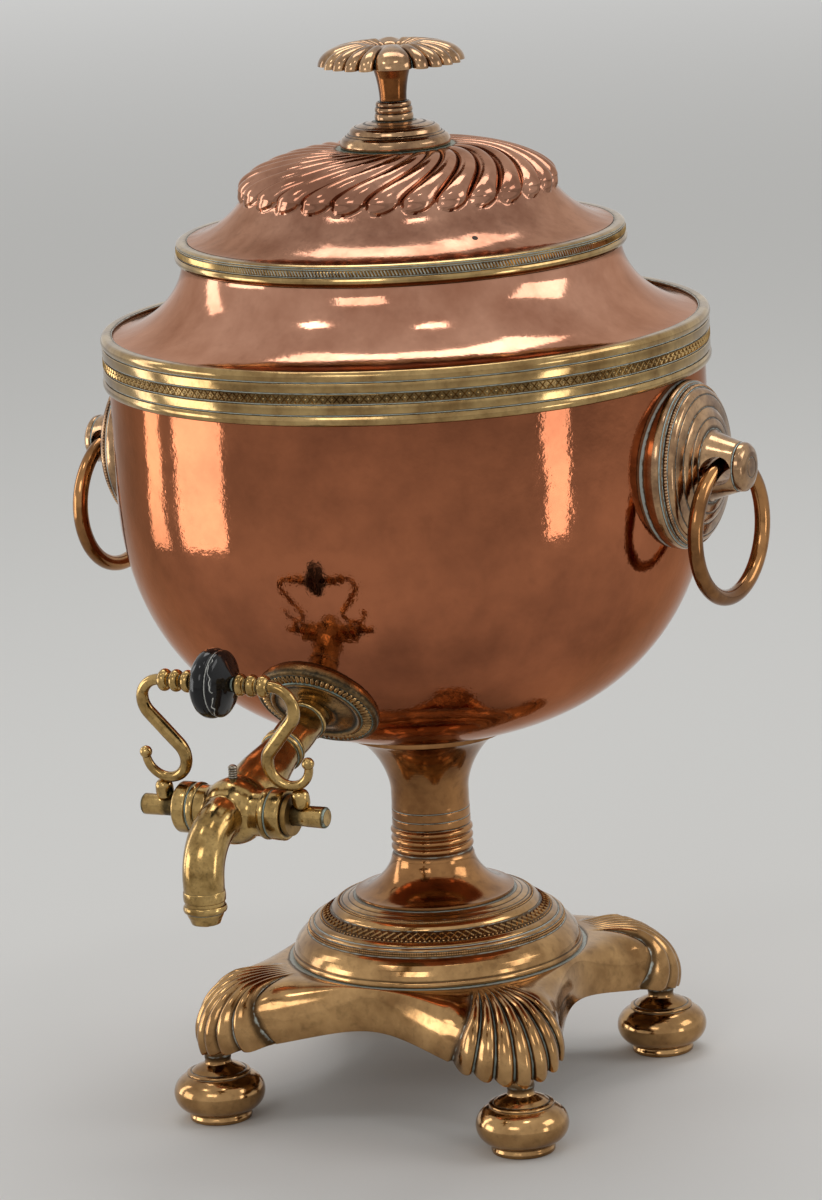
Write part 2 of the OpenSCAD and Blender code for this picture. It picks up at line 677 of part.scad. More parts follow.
module plug_washer() {
    color(brass) translate([barrel_half + free_gap, -tap_reach, tap_z]) rotate([0, 90, 0])
        difference() {
            cylinder(r = barrel_r - 2, h = 2);
            translate([0, 0, -1]) cylinder(r = shank_r + fit / 2, h = 4);
        }
}

// Brass saddle and nut that draw the tap up from inside the bowl
module tap_saddle() {
    color(brass) difference() {
        intersection() {
            tube_frame() cylinder(r = tube_r + 5, h = tube_len + 9);
            rotate_extrude() bowl_area(-sheet_t - fit / 2, rim_z);
        }
        tube_frame() cylinder(r = tube_r + fit / 2, h = tube_len + 30);
    }
}

module tap_nut() {
    color(brass) tube_frame() translate([0, 0, tube_len + 9 + fit]) difference() {
        cylinder(r = nut_r(tube_r) * 0.72, h = 5, $fn = 6);
        translate([0, 0, -1]) cylinder(r = tube_r + fit / 2, h = 8);
    }
}

// Tap key: the S-scrolls are two bends joined by a straight that touches both
scroll_d = [hook_x - grip_half, key_hook_z - key_top_z];
scroll_gap = norm(scroll_d);
scroll_turn = asin((scroll_top_r + scroll_hook_r) / scroll_gap) - atan2(scroll_d[0], -scroll_d[1]);
scroll_run = sqrt(pow(scroll_gap, 2) - pow(scroll_top_r + scroll_hook_r, 2));

module wire_bend(r, from, to) {
    rotate([90, 0, 0]) rotate([0, 0, from]) rotate_extrude(angle = to - from)
        translate([r, 0]) circle(r = wire_r, $fn = 32);
}

module key_scroll(side) {
    color(brass) key_frame() mirror([side < 0 ? 1 : 0, 0, 0]) difference() {
        union() {
            translate([grip_half, 0, key_top_z]) {
                wire_bend(scroll_top_r, -scroll_turn, 90);
                rotate([0, scroll_turn, 0]) translate([scroll_top_r, 0, 0.4]) rotate([180, 0, 0])
                    cylinder(r = wire_r + 0.15, h = scroll_run + 0.8, $fn = 32);
            }
            translate([hook_x, 0, key_hook_z]) {
                wire_bend(scroll_hook_r, 180 - scroll_turn, 360 + 5);
                rotate([0, -5, 0]) translate([scroll_hook_r, 0, 0])
                    sphere(r = wire_r + 0.4, $fn = 32);
            }
            translate([hook_x + 3, 0, shank_r + 3.2]) sphere(r = 3.5, $fn = 32);
        }
        translate([0, 0, 0]) rotate([0, 90, 0]) cylinder(r = shank_r + fit / 2, h = plug_len);
        translate([hook_x + 3, 0, 0]) cylinder(r = 1 + fit / 2, h = shank_r + 3);
    }
}

module key_pins() {
    color(brass) key_frame() for (side = [-1, 1])
        translate([side * (hook_x + 3), 0, fit]) cylinder(r = 1, h = shank_r + 2.8);
}

module key_grip() {
    color(brass) key_frame() translate([0, 0, key_h]) difference() {
        rotate([0, 90, 0]) rotate_extrude() for (m = [0, 1]) mirror([0, m]) {
            square([wire_r, grip_half]);
            for (i = [0:2]) translate([bead_r - 2.2, knob_w / 2 + 2.6 + 4.8 * i])
                intersection() {
                    circle(r = 2.2, $fn = 32);
                    translate([2.2 - bead_r, -3]) square([bead_r + 2, 6]);
                }
        }
    }
}

module key_knob() {
    r = knob_r;
    w = knob_w;
    color(ebony) key_frame() translate([0, 0, key_h]) rotate([0, 90, 0]) rotate_extrude()
        polygon([[wire_r + fit / 2, -w / 2], [0.55 * r, -w / 2], [0.82 * r, -0.4 * w],
            [0.97 * r, -0.24 * w], [r, -0.08 * w], [0.97 * r, 0.08 * w], [0.86 * r, 0.2 * w],
            [0.8 * r, 0.22 * w], [0.82 * r, 0.3 * w], [0.78 * r, 0.4 * w], [0.6 * r, w / 2],
            [wire_r + fit / 2, w / 2]]);
}

// Pedestal

module column() {
    flare_p = 1.6;
    f = column_flange_r;
    low = 15.5;
    reed_z = low + 2;
    pitch = 2 * reed_r;
    high_z = column_h - 23;
    low_sweep = quarter(f - waist_r - 1, low - 1.5, flare_p, 8);
    top_sweep = quarter(f - waist_r, 23, flare_p, 10);
    color(brass) translate([0, 0, foot_top_z]) difference() {
        union() {
            rotate_extrude() difference() {
                polygon(concat([[0, 0], [f, 0], [f, 1.5]],
                    [for (p = backwards(low_sweep)) [f - p[0], low - p[1]]],
                    [[waist_r + 0.6, reed_z + 3 * pitch], [waist_r, high_z - 8]],
                    [for (p = top_sweep) [f - p[0], high_z + p[1]]],
                    [[f, column_h + 3], [0, column_h + 3]]));
                translate([0, -foot_top_z]) bowl_area(fit / 2, rim_z);
            }
            rotate_extrude() for (i = [0:2])
                translate([waist_r + 0.2, reed_z + (i + 0.5) * pitch]) circle(r = reed_r, $fn = 24);
            translate([0, 0, -3]) cylinder(r = 11, h = 6);
        }
        translate([0, 0, -4]) cylinder(r = 8.5, h = column_h - 4);
        cylinder(r = tie_rod_r + fit, h = column_h + 5);
    }
}

module foot() {
    r = foot_r;
    h = foot_h;
    f = column_flange_r + 0.6;
    color(brass) translate([0, 0, seat_z]) rotate_extrude() polygon([
        [r - cast_t, 0], [r, 0], [r, 0.07 * h], [r - 0.7, 0.19 * h], [r - 2.4, 0.31 * h],
        [r - 4.6, 0.41 * h], [r - 6.6, 0.48 * h], [r - 7, 0.53 * h], [r - 8, 0.57 * h],
        [r - 9, 0.6 * h], [r - 10.4, 0.63 * h], [r - 16, 0.79 * h], [r - 16.8, 0.8 * h],
        [r - 18, 0.88 * h], [r - 20, 0.92 * h], [r - 22, 0.94 * h], [f + 0.6, h], [11 + fit, h],
        [11 + fit, h - 4], [f, h - 4.6], [r - 16 - cast_t, 0.62 * h], [r - 8 - cast_t, 0.4 * h]]);
}

// Plinth: every upright line of its skin runs from the seat out and down to the edge
flute_cols = 3;
fan_cols = flutes * flute_cols;
side_cols = 6;
quad_cols = fan_cols + side_cols;
plinth_cols = 4 * quad_cols;
plinth_rows = 8;
function fan_half_w(t) = fan_top_w + (fan_edge_w - fan_top_w) * pow(t, 0.8);
// Angle from the nearest corner's diagonal of column c on row share t
function off_corner(c, t) = let (w = fan_half_w(t)) c <= fan_cols
    ? -w + 2 * w * c / fan_cols
    : w + (90 - 2 * w) * (c - fan_cols) / side_cols;
function fan_edge_r(a) = fan_c * cos(a) + sqrt(max(0, fan_r * fan_r - pow(fan_c * sin(a), 2)));
side_end = fan_edge_r(fan_edge_w) * cos(45 - fan_edge_w);
function side_edge_r(a) = let (b = 45 - a)
    (side_half + (side_end - side_half) * pow(abs(b) / (45 - fan_edge_w), 2)) / cos(b);
function plinth_edge_r(a) = a < fan_edge_w ? fan_edge_r(a) : side_edge_r(a);
function flute_bump(c) = c > fan_cols ? 0 : pow(abs(sin(180 * c / flute_cols)), 0.6);
// How high the plinth's lower edge lies above the feet, rising between the corners
function edge_lift(a) = 1.5 + 12 * pow(sin(2 * min(a, 90 - a)), 1.1);
function plinth_vertex(c, t, in) = let (
        q = floor(c / quad_cols), k = c - q * quad_cols, a = abs(off_corner(k, t)),
        seat = plinth_seat_r - in, edge = plinth_edge_r(a > 45 ? 90 - a : a) - in,
        ramp = in > 0 ? 0 : min(1, max(0, (t - 0.06) / 0.3)),
        bump = flute_h * flute_bump(k) * ramp,
        r = seat + (edge - seat) * pow(sin(90 * t), 0.77) + bump * sin(90 * t),
        low = bun_h + edge_lift(a) - (in > 0 ? 0 : 0.7 * bump) * (t > 0.95 ? 1 : 0),
        z = seat_z - in - (seat_z - in - low) * (1 - pow(cos(90 * t), 0.77))
            + bump * cos(90 * t),
        turn = 45 + 90 * q + off_corner(k, t))
    [r * cos(turn), r * sin(turn), z];

module plinth() {
    n = plinth_cols;
    m = plinth_rows;
    in_rows = 4;
    skin = [for (i = [0:m]) each [for (c = [0:n - 1]) plinth_vertex(c, i / m, 0)]];
    lining = [for (i = [in_rows:-1:0]) each [for (c = [0:n - 1])
        plinth_vertex(c, i / in_rows, cast_t)]];
    rings = m + in_rows + 1;
    color(brass) difference() {
        union() {
            polyhedron(points = concat(skin, lining),
                faces = concat(
                    [[for (c = [n - 1:-1:0]) c]],
                    [for (k = [0:rings - 1]) each ring_faces((k + 1) * n, k * n, n)],
                    [[for (c = [0:n - 1]) rings * n + c]]),
                convexity = 8);
            for (x = [-1, 1], y = [-1, 1])
                translate([x * foot_spread, y * foot_spread, bun_h])
                    cylinder(r = 6.5, h = 11);
        }
        translate([0, 0, seat_z - 10]) cylinder(r = tie_rod_r + fit, h = 20);
        for (x = [-1, 1], y = [-1, 1])
            translate([x * foot_spread, y * foot_spread, bun_h - 1])
                cylinder(r = stud_r + fit / 2, h = 9);
    }
}

module bun_foot(x, y) {
    mid_z = 11;
    color(brass) translate([x * foot_spread, y * foot_spread, 0]) rotate_extrude() polygon(concat(
        [[0, 0], [0.64 * bun_r, 0], [0.68 * bun_r, 0.8], [0.68 * bun_r, 3.2]],
        [for (a = [-75:15:75]) [0.56 * bun_r + 0.44 * bun_r * cos(a), mid_z + 7.6 * sin(a)]],
        [[0.68 * bun_r, mid_z + 7.7], [0.68 * bun_r, mid_z + 8.7], [0.61 * bun_r, mid_z + 8.9],
         [0.5 * bun_r, mid_z + 10.4], [5, mid_z + 12], [5, bun_h - fit / 2],
         [stud_r, bun_h - fit / 2], [stud_r, bun_h + 7], [0, bun_h + 7]]));
}

// Fasteners through the pedestal

tie_top_z = pole_z + sheet_t;
tie_low_z = seat_z - cast_t;

module tie_rod() {
    color(iron) translate([0, 0, tie_low_z - 10])
        cylinder(r = tie_rod_r, h = tie_top_z - tie_low_z + 20);
}

module tie_nuts() {
    color(iron) difference() {
        union() {
            translate([0, 0, tie_top_z + 2 * fit + washer_t + 0.2])
                cylinder(r = nut_r(tie_rod_r), h = 6, $fn = 6);
            translate([0, 0, tie_low_z - washer_t - 6 - 2 * fit])
                cylinder(r = nut_r(tie_rod_r), h = 6, $fn = 6);
        }
        cylinder(r = tie_rod_r + fit / 2, h = pole_z + 40);
    }
}

module tie_washers() {
    color(iron) difference() {
        union() {
            translate([0, 0, tie_top_z + fit + 0.2]) cylinder(r = 2.6 * tie_rod_r, h = washer_t);
            translate([0, 0, tie_low_z - washer_t - fit])
                cylinder(r = 4 * tie_rod_r, h = washer_t);
        }
        cylinder(r = tie_rod_r + fit / 2, h = pole_z + 40);
    }
}

// Heater

module heater_tube() {
    color(copper) rotate_extrude() intersection() {
        bowl_area(-sheet_t - fit / 2, rim_z + 20);
        union() {
            translate([heater_in_r, pole_z]) square([sheet_t, heater_top_z - pole_z]);
            translate([heater_r - 0.01, pole_z]) square([6, 7]);
            translate([0, heater_floor_z - sheet_t]) square([heater_in_r + 0.01, sheet_t]);
        }
    }
}

module heater_slug() {
    color(iron) translate([0, 0, slug_z]) difference() {
        rotate_extrude() polygon([[0, 0], [slug_r - 2, 0], [slug_r, 2], [slug_r, slug_h - 2],
            [slug_r - 2, slug_h], [0, slug_h]]);
        translate([0, 0, slug_h - 12]) cylinder(r = stud_r + fit / 2, h = 20);
    }
}

module slug_eye() {
    color(iron) translate([0, 0, slug_z + slug_h]) {
        translate([0, 0, -11]) cylinder(r = stud_r, h = 13);
        translate([0, 0, eye_lift]) rotate([90, 0, 0]) rotate_extrude()
            translate([eye_r, 0]) circle(r = eye_bar_r, $fn = 24);
    }
}

module heater_cover() {
    r = heater_r + free_gap;
    color(brass) translate([0, 0, cover_z]) rotate_extrude() polygon([
        [stud_r + fit / 2, 0], [r, 0], [r, -4 * sheet_t], [r + sheet_t, -4 * sheet_t],
        [r + sheet_t, 1],
        [r + sheet_t - 0.8, 1.8], [12, 3.2], [stud_r + fit / 2, 3.2]]);
}

module cover_knob() {
    color(brass) translate([0, 0, cover_z]) rotate_extrude() polygon([
        [0, -knob_root], [stud_r + 1.5, -knob_root], [stud_r + 1.5, -fit], [stud_r, -fit],
        [stud_r, 3.2 + fit], [4.5, 3.2 + fit], [3.4, 5], [3.4, 7], [6, 9.5], [6.4, 12], [5, 14], [0, 15]]);
}

bowl();
shoulder_neck();
shoulder_band();
lid_dome();
lid_ring();
lid_collar();
finial_base();
finial_stem();
finial_flower();
finial_rod();
finial_nut();
handle_boss(-1);  // handle_boss_left
handle_boss(1);  // handle_boss_right
handle_ring(-1);  // handle_ring_left
handle_ring(1);  // handle_ring_right
boss_studs();
boss_nuts();
tap_plate();
tap_body();
tap_plug();
plug_washer();
tap_screw();
tap_saddle();
tap_nut();
key_scroll(-1);  // key_scroll_left
key_scroll(1);  // key_scroll_right
key_grip();
key_knob();
key_pins();
column();
foot();
plinth();
bun_foot(-1, -1);  // bun_foot_front_left
bun_foot(1, -1);  // bun_foot_front_right
bun_foot(-1, 1);  // bun_foot_back_left
bun_foot(1, 1);  // bun_foot_back_right
tie_rod();
tie_nuts();
tie_washers();
heater_tube();
heater_slug();
slug_eye();
heater_cover();
cover_knob();
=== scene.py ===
# %% [markdown]
# # A copper tea urn, dressed for its portrait
#
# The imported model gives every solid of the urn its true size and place. This lesson builds the
# looks round it: raised copper with its lobed lid, cast and turned brass, a ring of tiny stamped
# ornaments, and the soft light that lets polished metal read as metal. The model is loaded
# first, because every piece below is placed by its measurements and moves with its bodies.

# %% Load the fixed frame
import bpy
import bmesh
import json
from math import asin, atan2, cos, degrees, exp, hypot, pi, radians, sin, sqrt, tau
from mathutils import Matrix, Vector

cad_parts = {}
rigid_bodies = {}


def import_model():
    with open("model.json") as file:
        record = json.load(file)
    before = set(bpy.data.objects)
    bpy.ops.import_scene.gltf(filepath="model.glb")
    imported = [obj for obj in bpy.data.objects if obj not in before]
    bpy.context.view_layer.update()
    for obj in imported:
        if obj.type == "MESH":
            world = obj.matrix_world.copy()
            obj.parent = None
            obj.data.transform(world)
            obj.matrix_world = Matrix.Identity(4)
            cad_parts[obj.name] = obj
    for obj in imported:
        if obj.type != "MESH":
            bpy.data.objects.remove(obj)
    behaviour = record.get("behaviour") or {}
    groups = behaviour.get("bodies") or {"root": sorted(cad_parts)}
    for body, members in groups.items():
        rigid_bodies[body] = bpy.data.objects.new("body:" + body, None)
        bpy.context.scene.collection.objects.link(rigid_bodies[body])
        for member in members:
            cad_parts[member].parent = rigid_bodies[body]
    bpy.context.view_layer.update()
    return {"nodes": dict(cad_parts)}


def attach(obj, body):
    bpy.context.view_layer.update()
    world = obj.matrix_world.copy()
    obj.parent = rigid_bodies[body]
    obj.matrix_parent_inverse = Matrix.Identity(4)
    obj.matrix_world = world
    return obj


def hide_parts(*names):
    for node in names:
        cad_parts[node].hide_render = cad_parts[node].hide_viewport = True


for thing in list(bpy.data.objects):
    bpy.data.objects.remove(thing)
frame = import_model()
nodes = frame["nodes"]

# %% [markdown]
# ## Sizes
#
# All of these are the maker's sizes of the urn, the same that the solids have: millimetres, with
# twist, askew, dip and lean in degrees, and fullness as the power of a curve. Heights are built
# up from the floor, so a piece always rests on the one that carries it.

# %% Sizes
bowl_r, bowl_depth, bowl_wall_h, bowl_fullness, sheet_t = 115.5, 109, 41, 2.35, 1.5
band_h, band_t, band_lap = 20.5, 2.4, 5.5
neck_r, neck_h, neck_fullness = 85, 26.5, 1.7
lid_ring_h, lid_ring_lip = 8.7, 2.4
brim_w, brim_h, dome_h, lobes, lobe_h, lobe_twist = 23, 18.5, 13.6, 28, 2.8, 45
finial_base_r, finial_base_h, stem_h, stem_r = 21.3, 10, 20.5, 5.2
flower_r, flower_h = 28.3, 10
nose_r, pivot_out = 11.8, 17.6
ring_r, ring_bar_r, ring_gap, ring_askew, handle_up = 26, 3, 0.5, 6, 2.5
tap_reach, tap_up, tap_dip, tube_r, bore_r = 157.5, 8.5, 18.5, 7.4, 4
barrel_len, barrel_r, ball_r, plug_r, plug_len, shank_r = 44.5, 9.6, 12.6, 7, 76.5, 3.9
spout_r, spout_out, spout_bend_r, spout_drop, plate_r, plate_t = 7.3, 26.5, 19, 35.5, 24, 2.4
key_h, key_lean, wire_r, scroll_top_r, scroll_hook_r = 51.5, 11, 2.5, 8.3, 8.4
hook_x, grip_half, bead_r, knob_r, knob_w = 25.4, 23, 4.2, 13, 16.5
column_h, column_flange_r, waist_r, reed_r = 65.5, 31.5, 15.4, 1.7
foot_r, foot_h, cast_t, foot_spread, bun_h, bun_r = 57.5, 23.5, 3, 66, 26, 18
plinth_rise, side_half, corner_over, flutes, flute_h = 30.5, 61, 6, 7, 1.8
fit, free_gap = 0.1, 0.3

seat_z = bun_h + plinth_rise
foot_top_z = seat_z + foot_h
pole_z = foot_top_z + column_h
equator_z = pole_z + bowl_depth
rim_z = equator_z + bowl_wall_h
band_z = rim_z - band_lap
shoulder_z = band_z + band_h - 1.1
mouth_z = shoulder_z + neck_h
lid_z = mouth_z + free_gap
lid_edge_z = lid_z + lid_ring_h
dome_foot_z = lid_edge_z + brim_h
dome_top_z = dome_foot_z + dome_h
stem_z = dome_top_z + finial_base_h
flower_z = stem_z + stem_h
shoulder_r = bowl_r - sheet_t - fit
collar_r = neck_r - sheet_t - free_gap - fit
lid_ring_r = neck_r + lid_ring_lip
lid_edge_r = lid_ring_r - 5.2
dome_foot_r = lid_edge_r - brim_w
dome_flat_r = finial_base_r + 1
lobe_end_r = dome_foot_r + 1.8
handle_z = equator_z + handle_up
pivot_x = bowl_r + pivot_out
tap_z = pole_z + tap_up
print(f"the urn stands {flower_z + flower_h:.1f} mm tall")

# %% [markdown]
# ## Small tools
#
# A colour is written as a paint-shop hex value and turned to linear light, because that is what
# a shader computes with. One function adds a shader node with its settings and its links.

# %% Colours and nodes
def linear(hex_colour):
    channels = [int(hex_colour[i:i + 2], 16) / 255 for i in (1, 3, 5)]
    light = [c / 12.92 if c <= 0.04045 else ((c + 0.055) / 1.055) ** 2.4 for c in channels]
    return (*light, 1.0)


def add(tree, kind, links=(), inputs=(), **settings):
    """Adds one node: settings are its options, inputs its values, links its incoming wires."""
    node = tree.nodes.new(kind)
    for key, value in settings.items():
        setattr(node, key, value)
    for key, value in dict(inputs).items():
        node.inputs[key].default_value = value
    for key, source in dict(links).items():
        tree.links.new(source, node.inputs[key])
    return node


def bare_tree(owner):
    """The node tree of a material or a world, emptied."""
    owner.use_nodes = True
    owner.node_tree.nodes.clear()
    return owner.node_tree


def put(name, data):
    """Adds an object with this data to the scene."""
    thing = bpy.data.objects.new(name, data)
    bpy.context.scene.collection.objects.link(thing)
    return thing


def plain(thing):
    """What an object's modifiers make of it, as a mesh of its own. The object goes."""
    graph = bpy.context.evaluated_depsgraph_get()
    mesh = bpy.data.meshes.new_from_object(thing.evaluated_get(graph))
    bpy.data.objects.remove(thing)
    return mesh


# %% [markdown]
# ## Outlines and turning
#
# Most of the urn was spun, raised or turned on a lathe, so most pieces are an outline swept once
# round an axis. Blender's Screw modifier or Spin could do that. Writing the rings of points by
# hand is as short, gives exact poles, and lets each point carry a value named recess, which says
# how deep it lies in a groove where polish residue and tarnish collect; the metals paint shade
# there from it as well.

# %% Outlines
def polar(r, a):
    return r * cos(a), r * sin(a)


def quarter(a, b, power, steps):
    """A quarter of a superellipse from (a, 0) to (0, b)."""
    angles = [pi / 2 * i / steps for i in range(steps + 1)]
    return [(a * max(0, cos(t)) ** (2 / power), b * sin(t) ** (2 / power)) for t in angles]


def softened(outline, radius=0.5, steps=3):
    """Rounds the corners of a closed outline of (radius, height, recess), as polishing does."""
    points = [tuple(p) + (0,) * (3 - len(p)) for p in outline]
    result = []
    for i, here in enumerate(points):
        b = Vector(here)
        ends = []
        for other in (points[i - 1], points[(i + 1) % len(points)]):
            step = Vector(other) - b
            length = hypot(step.x, step.y) or 1e-9
            ends.append(b + step * min(0.42, radius / length))
        if here[0] < 1e-6:
            result.append(here)
            continue
        for k in range(steps + 1):
            t = k / steps
            p = ends[0] * (1 - t) ** 2 + b * 2 * t * (1 - t) + ends[1] * t ** 2
            result.append((max(p.x, 0), p.y, p.z))
    return result


def offset(r, z, *points):
    """Points given from a radius and a height."""
    return [(r + dr, z + dz, *g) for dr, dz, *g in points]


def arc(r, z, wide, high, angles):
    """Points of an ellipse about (r, z) at angles in degrees."""
    return [(r + wide * cos(radians(a)), z + high * sin(radians(a)), 0) for a in angles]


def ball(r, steps):
    return [(r * sin(pi * i / steps), -r * cos(pi * i / steps)) for i in range(steps + 1)]


def mirrored(half):
    """Half an outline, with its mirror image in front of it."""
    return [(r, -z, g) for r, z, g in reversed(half)] + half


def groove(r, z, wide=0.7, deep=0.6):
    """A fine turned line in an upright surface, going up."""
    return [(r, z - wide / 2, 0), (r - deep, z - wide / 5, 1), (r - deep, z + wide / 5, 1),
        (r, z + wide / 2, 0)]


# %% Making meshes
mm = 0.001  # in metres, Blender's unit


def shade(mesh, angle=38):
    mesh.polygons.foreach_set("use_smooth", [True] * len(mesh.polygons))
    mesh.set_sharp_from_angle(angle=radians(angle))


def paint(mesh, material):
    mesh.materials.clear()
    mesh.materials.append(material)


def keep(name, mesh, body, material, slot, *replaced):
    """Links a finished mesh as a piece of one body, with its finish and the nodes it stands for."""
    mesh.name = name
    piece = put(name, mesh)
    paint(mesh, material)
    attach(piece, body)
    if replaced:
        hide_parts(*replaced)
    print(f"{name}: {len(mesh.polygons)} faces on {body}")


def surface(points, faces, recess=None, place=Matrix(), angle=38):
    """A mesh from points in millimetres, set in place, with its faces turned outwards."""
    mesh = bpy.data.meshes.new("surface")
    mesh.from_pydata([tuple(c * mm for c in p) for p in points], [], faces)
    if recess:
        mesh.attributes.new("recess", "FLOAT", "POINT").data.foreach_set("value", recess)
    work = bmesh.new()
    work.from_mesh(mesh)
    bmesh.ops.remove_doubles(work, verts=work.verts, dist=1e-7)
    bmesh.ops.recalc_face_normals(work, faces=work.faces)
    work.to_mesh(mesh)
    work.free()
    mesh.transform(place)
    shade(mesh, angle)
    return mesh


def turned(outline, place=Matrix(), sides=192):
    """Sweeps a closed outline of (radius, height, recess) once round the Z axis."""
    points, recess, rings = [], [], []
    for p in outline:
        r, z, g = tuple(p) + (0,) * (3 - len(p))
        count = sides if r > 1e-6 else 1
        rings.append((len(points), count))
        for j in range(count):
            points.append((*polar(r, tau * j / sides), z))
            recess.append(g)
    faces = []
    for i in range(len(rings)):
        (a, na), (b, nb) = rings[i], rings[(i + 1) % len(rings)]
        if na == nb == 1:
            continue
        for j in range(sides):
            k = (j + 1) % sides
            if na == 1:
                faces.append((a, b + j, b + k))
            elif nb == 1:
                faces.append((a + j, b, a + k))
            else:
                faces.append((a + j, b + j, b + k, a + k))
    return surface(points, faces, recess, place)


def lathe(name, outline, soft, body, material, slot, *nodes_replaced, place=Matrix(), sides=96):
    """Keeps a piece turned from an outline, with its corners softened by that many millimetres."""
    outline = softened(outline, soft) if soft else outline
    keep(name, turned(outline, place, sides), body, material, slot, *nodes_replaced)


def merged(parts):
    """Several meshes as one, with all faces turned outwards."""
    work = bmesh.new()
    for part in parts:
        work.from_mesh(part)
    bmesh.ops.recalc_face_normals(work, faces=work.faces)
    mesh = bpy.data.meshes.new("merged")
    work.to_mesh(mesh)
    work.free()
    return mesh


def grid(rings, n, closed=False):
    """The faces between rings of n points each; closed joins the last ring to the first."""
    pairs = [(i * n, (i + 1) % rings * n) for i in range(rings if closed else rings - 1)]
    return [(a + j, b + j, b + (j + 1) % n, a + (j + 1) % n) for a, b in pairs for j in range(n)]


def loft(rows, recess, place=Matrix(), angle=38):
    """A closed skin over rings of equal length; the first and last ring are capped."""
    n = len(rows[0])
    faces = [tuple(range(n)), tuple((len(rows) - 1) * n + j for j in range(n))]
    faces += grid(len(rows), n)
    return surface([p for row in rows for p in row], faces, [g for row in recess for g in row],
        place, angle)


def at(x, y, z, turn=0.0, axis="X"):
    """A place in the urn's frame: millimetres, then a turn in degrees about one axis."""
    return Matrix.Translation((x * mm, y * mm, z * mm)) @ Matrix.Rotation(radians(turn), 4, axis)


print("tools ready")

# %% [markdown]
# ## Metals
#
# Old polished copper and brass are never one colour: rubbing leaves the high places bright,
# while hollows keep brown tarnish and pale green-white polish residue. One recipe makes all the
# metals here, and with its metallic link taken off it also makes the wood of the knob. Broad and
# fine noise in real millimetres mix two tints, the recess value brings in tarnish, painted shade
# and residue, and three bumps give the slow waves of hammered sheet, its small dints and the fine
# peel of hand polishing. A metal keeps the shader's own index of refraction.

# %% A recipe for worn metal
def worn_metal(name, bright, dull, tarnish_and_shade_tint, residue="#B9BDA8", rough=(0.12, 0.24), patch=28.0,
        peel=1.4, wave=0.12, dent=0.01, grain=0.01, stain=0.3, chalky=0.6, rim="#FFFFFF"):
    """A polished metal: patch is the width of its cloudy tints and peel that of its skin, in mm;
    wave, dent and grain are the depths in mm of its slow swells, its dints and its orange peel."""
    material = bpy.data.materials.new(name)
    tree = bare_tree(material)
    place = add(tree, "ShaderNodeTexCoord").outputs["Object"]

    noises = []
    for size, detail in ((patch, 5.0), (patch * 0.16, 4.0), (peel, 1.5), (patch * 0.75, 1.0)):
        values = {"Scale": 1000 / size, "Detail": detail, "Roughness": 0.6}
        noises.append(add(tree, "ShaderNodeTexNoise", {"Vector": place}, values).outputs["Fac"])
    broad, fine, skin, swell = noises
    hollow = add(tree, "ShaderNodeAttribute", attribute_name="recess").outputs["Fac"]
    uneven = add(tree, "ShaderNodeMath", {0: fine}, {1: 0.7, 2: 0.65}, operation="MULTIPLY_ADD")
    edge = add(tree, "ShaderNodeMath", {0: hollow, 1: uneven.outputs[0]},
        operation="MULTIPLY").outputs[0]
    shares = []
    for value, *limits in ((broad, 0.36, 0.66, 0.0, 1.0), (fine, 0.52, 0.74, 0.0, stain),
            (edge, 0.2, 0.6, 0.0, 0.85), (edge, 0.72, 0.92, 0.0, chalky),
            (fine, 0.3, 0.75, *rough)):
        limits = dict(zip(("From Min", "From Max", "To Min", "To Max"), limits))
        shares.append(add(tree, "ShaderNodeMapRange", {"Value": value}, limits).outputs["Result"])
    cloud, spots, depth, chalk, rubbed = shares
    colour = add(tree, "ShaderNodeMix", {"Factor": cloud}, {6: linear(bright), 7: linear(dull)},
        data_type="RGBA").outputs[2]
    # The dark tint marks stains where the fine noise puts them, and darkens the hollows through the
    # recess value: partly tarnish, partly painted shade.
    for share, tint in ((spots, tarnish_and_shade_tint), (depth, tarnish_and_shade_tint), (chalk, residue)):
        colour = add(tree, "ShaderNodeMix", {"Factor": share, 6: colour}, {7: linear(tint)},
            data_type="RGBA").outputs[2]
    worn = add(tree, "ShaderNodeMath", {0: depth, 2: rubbed}, {1: 0.3}, operation="MULTIPLY_ADD",
        use_clamp=True)
    bare = add(tree, "ShaderNodeMath", {0: chalk}, {1: -1.0, 2: 1.0}, operation="MULTIPLY_ADD",
        use_clamp=True)
    normal = None
    for height, deep in ((swell, wave), (fine, dent), (skin, grain)):
        links = {"Height": height, "Normal": normal} if normal else {"Height": height}
        normal = add(tree, "ShaderNodeBump", links, {"Strength": 1.0,
            "Distance": deep * mm}).outputs["Normal"]
    shader = add(tree, "ShaderNodeBsdfPrincipled", {"Base Color": colour,
        "Roughness": worn.outputs[0], "Metallic": bare.outputs[0], "Normal": normal},
        {"Specular Tint": linear(rim)})
    add(tree, "ShaderNodeOutputMaterial", {"Surface": shader.outputs["BSDF"]})
    return material


# %% The urn's own metals
copper_bowl = worn_metal("raised_copper_polished", "#AF6B4A", "#8A533A", "#4A2719", patch=46,
    peel=1.6, wave=0.6, dent=0.1, grain=0.02, rough=(0.05, 0.1), stain=0.1, rim="#EFD6C6")
# The neck's copper is a paler copy of the bowl's: the paleness is painted light, for the light its
# upward-facing surface catches from above.
copper_neck_painted_light = worn_metal("spun_copper_polished", "#C8947A", "#A06C54", "#5A3628", patch=40,
    peel=1.8, wave=0.4, dent=0.07, grain=0.014, rough=(0.07, 0.13), stain=0.12, rim="#F2DDD0")
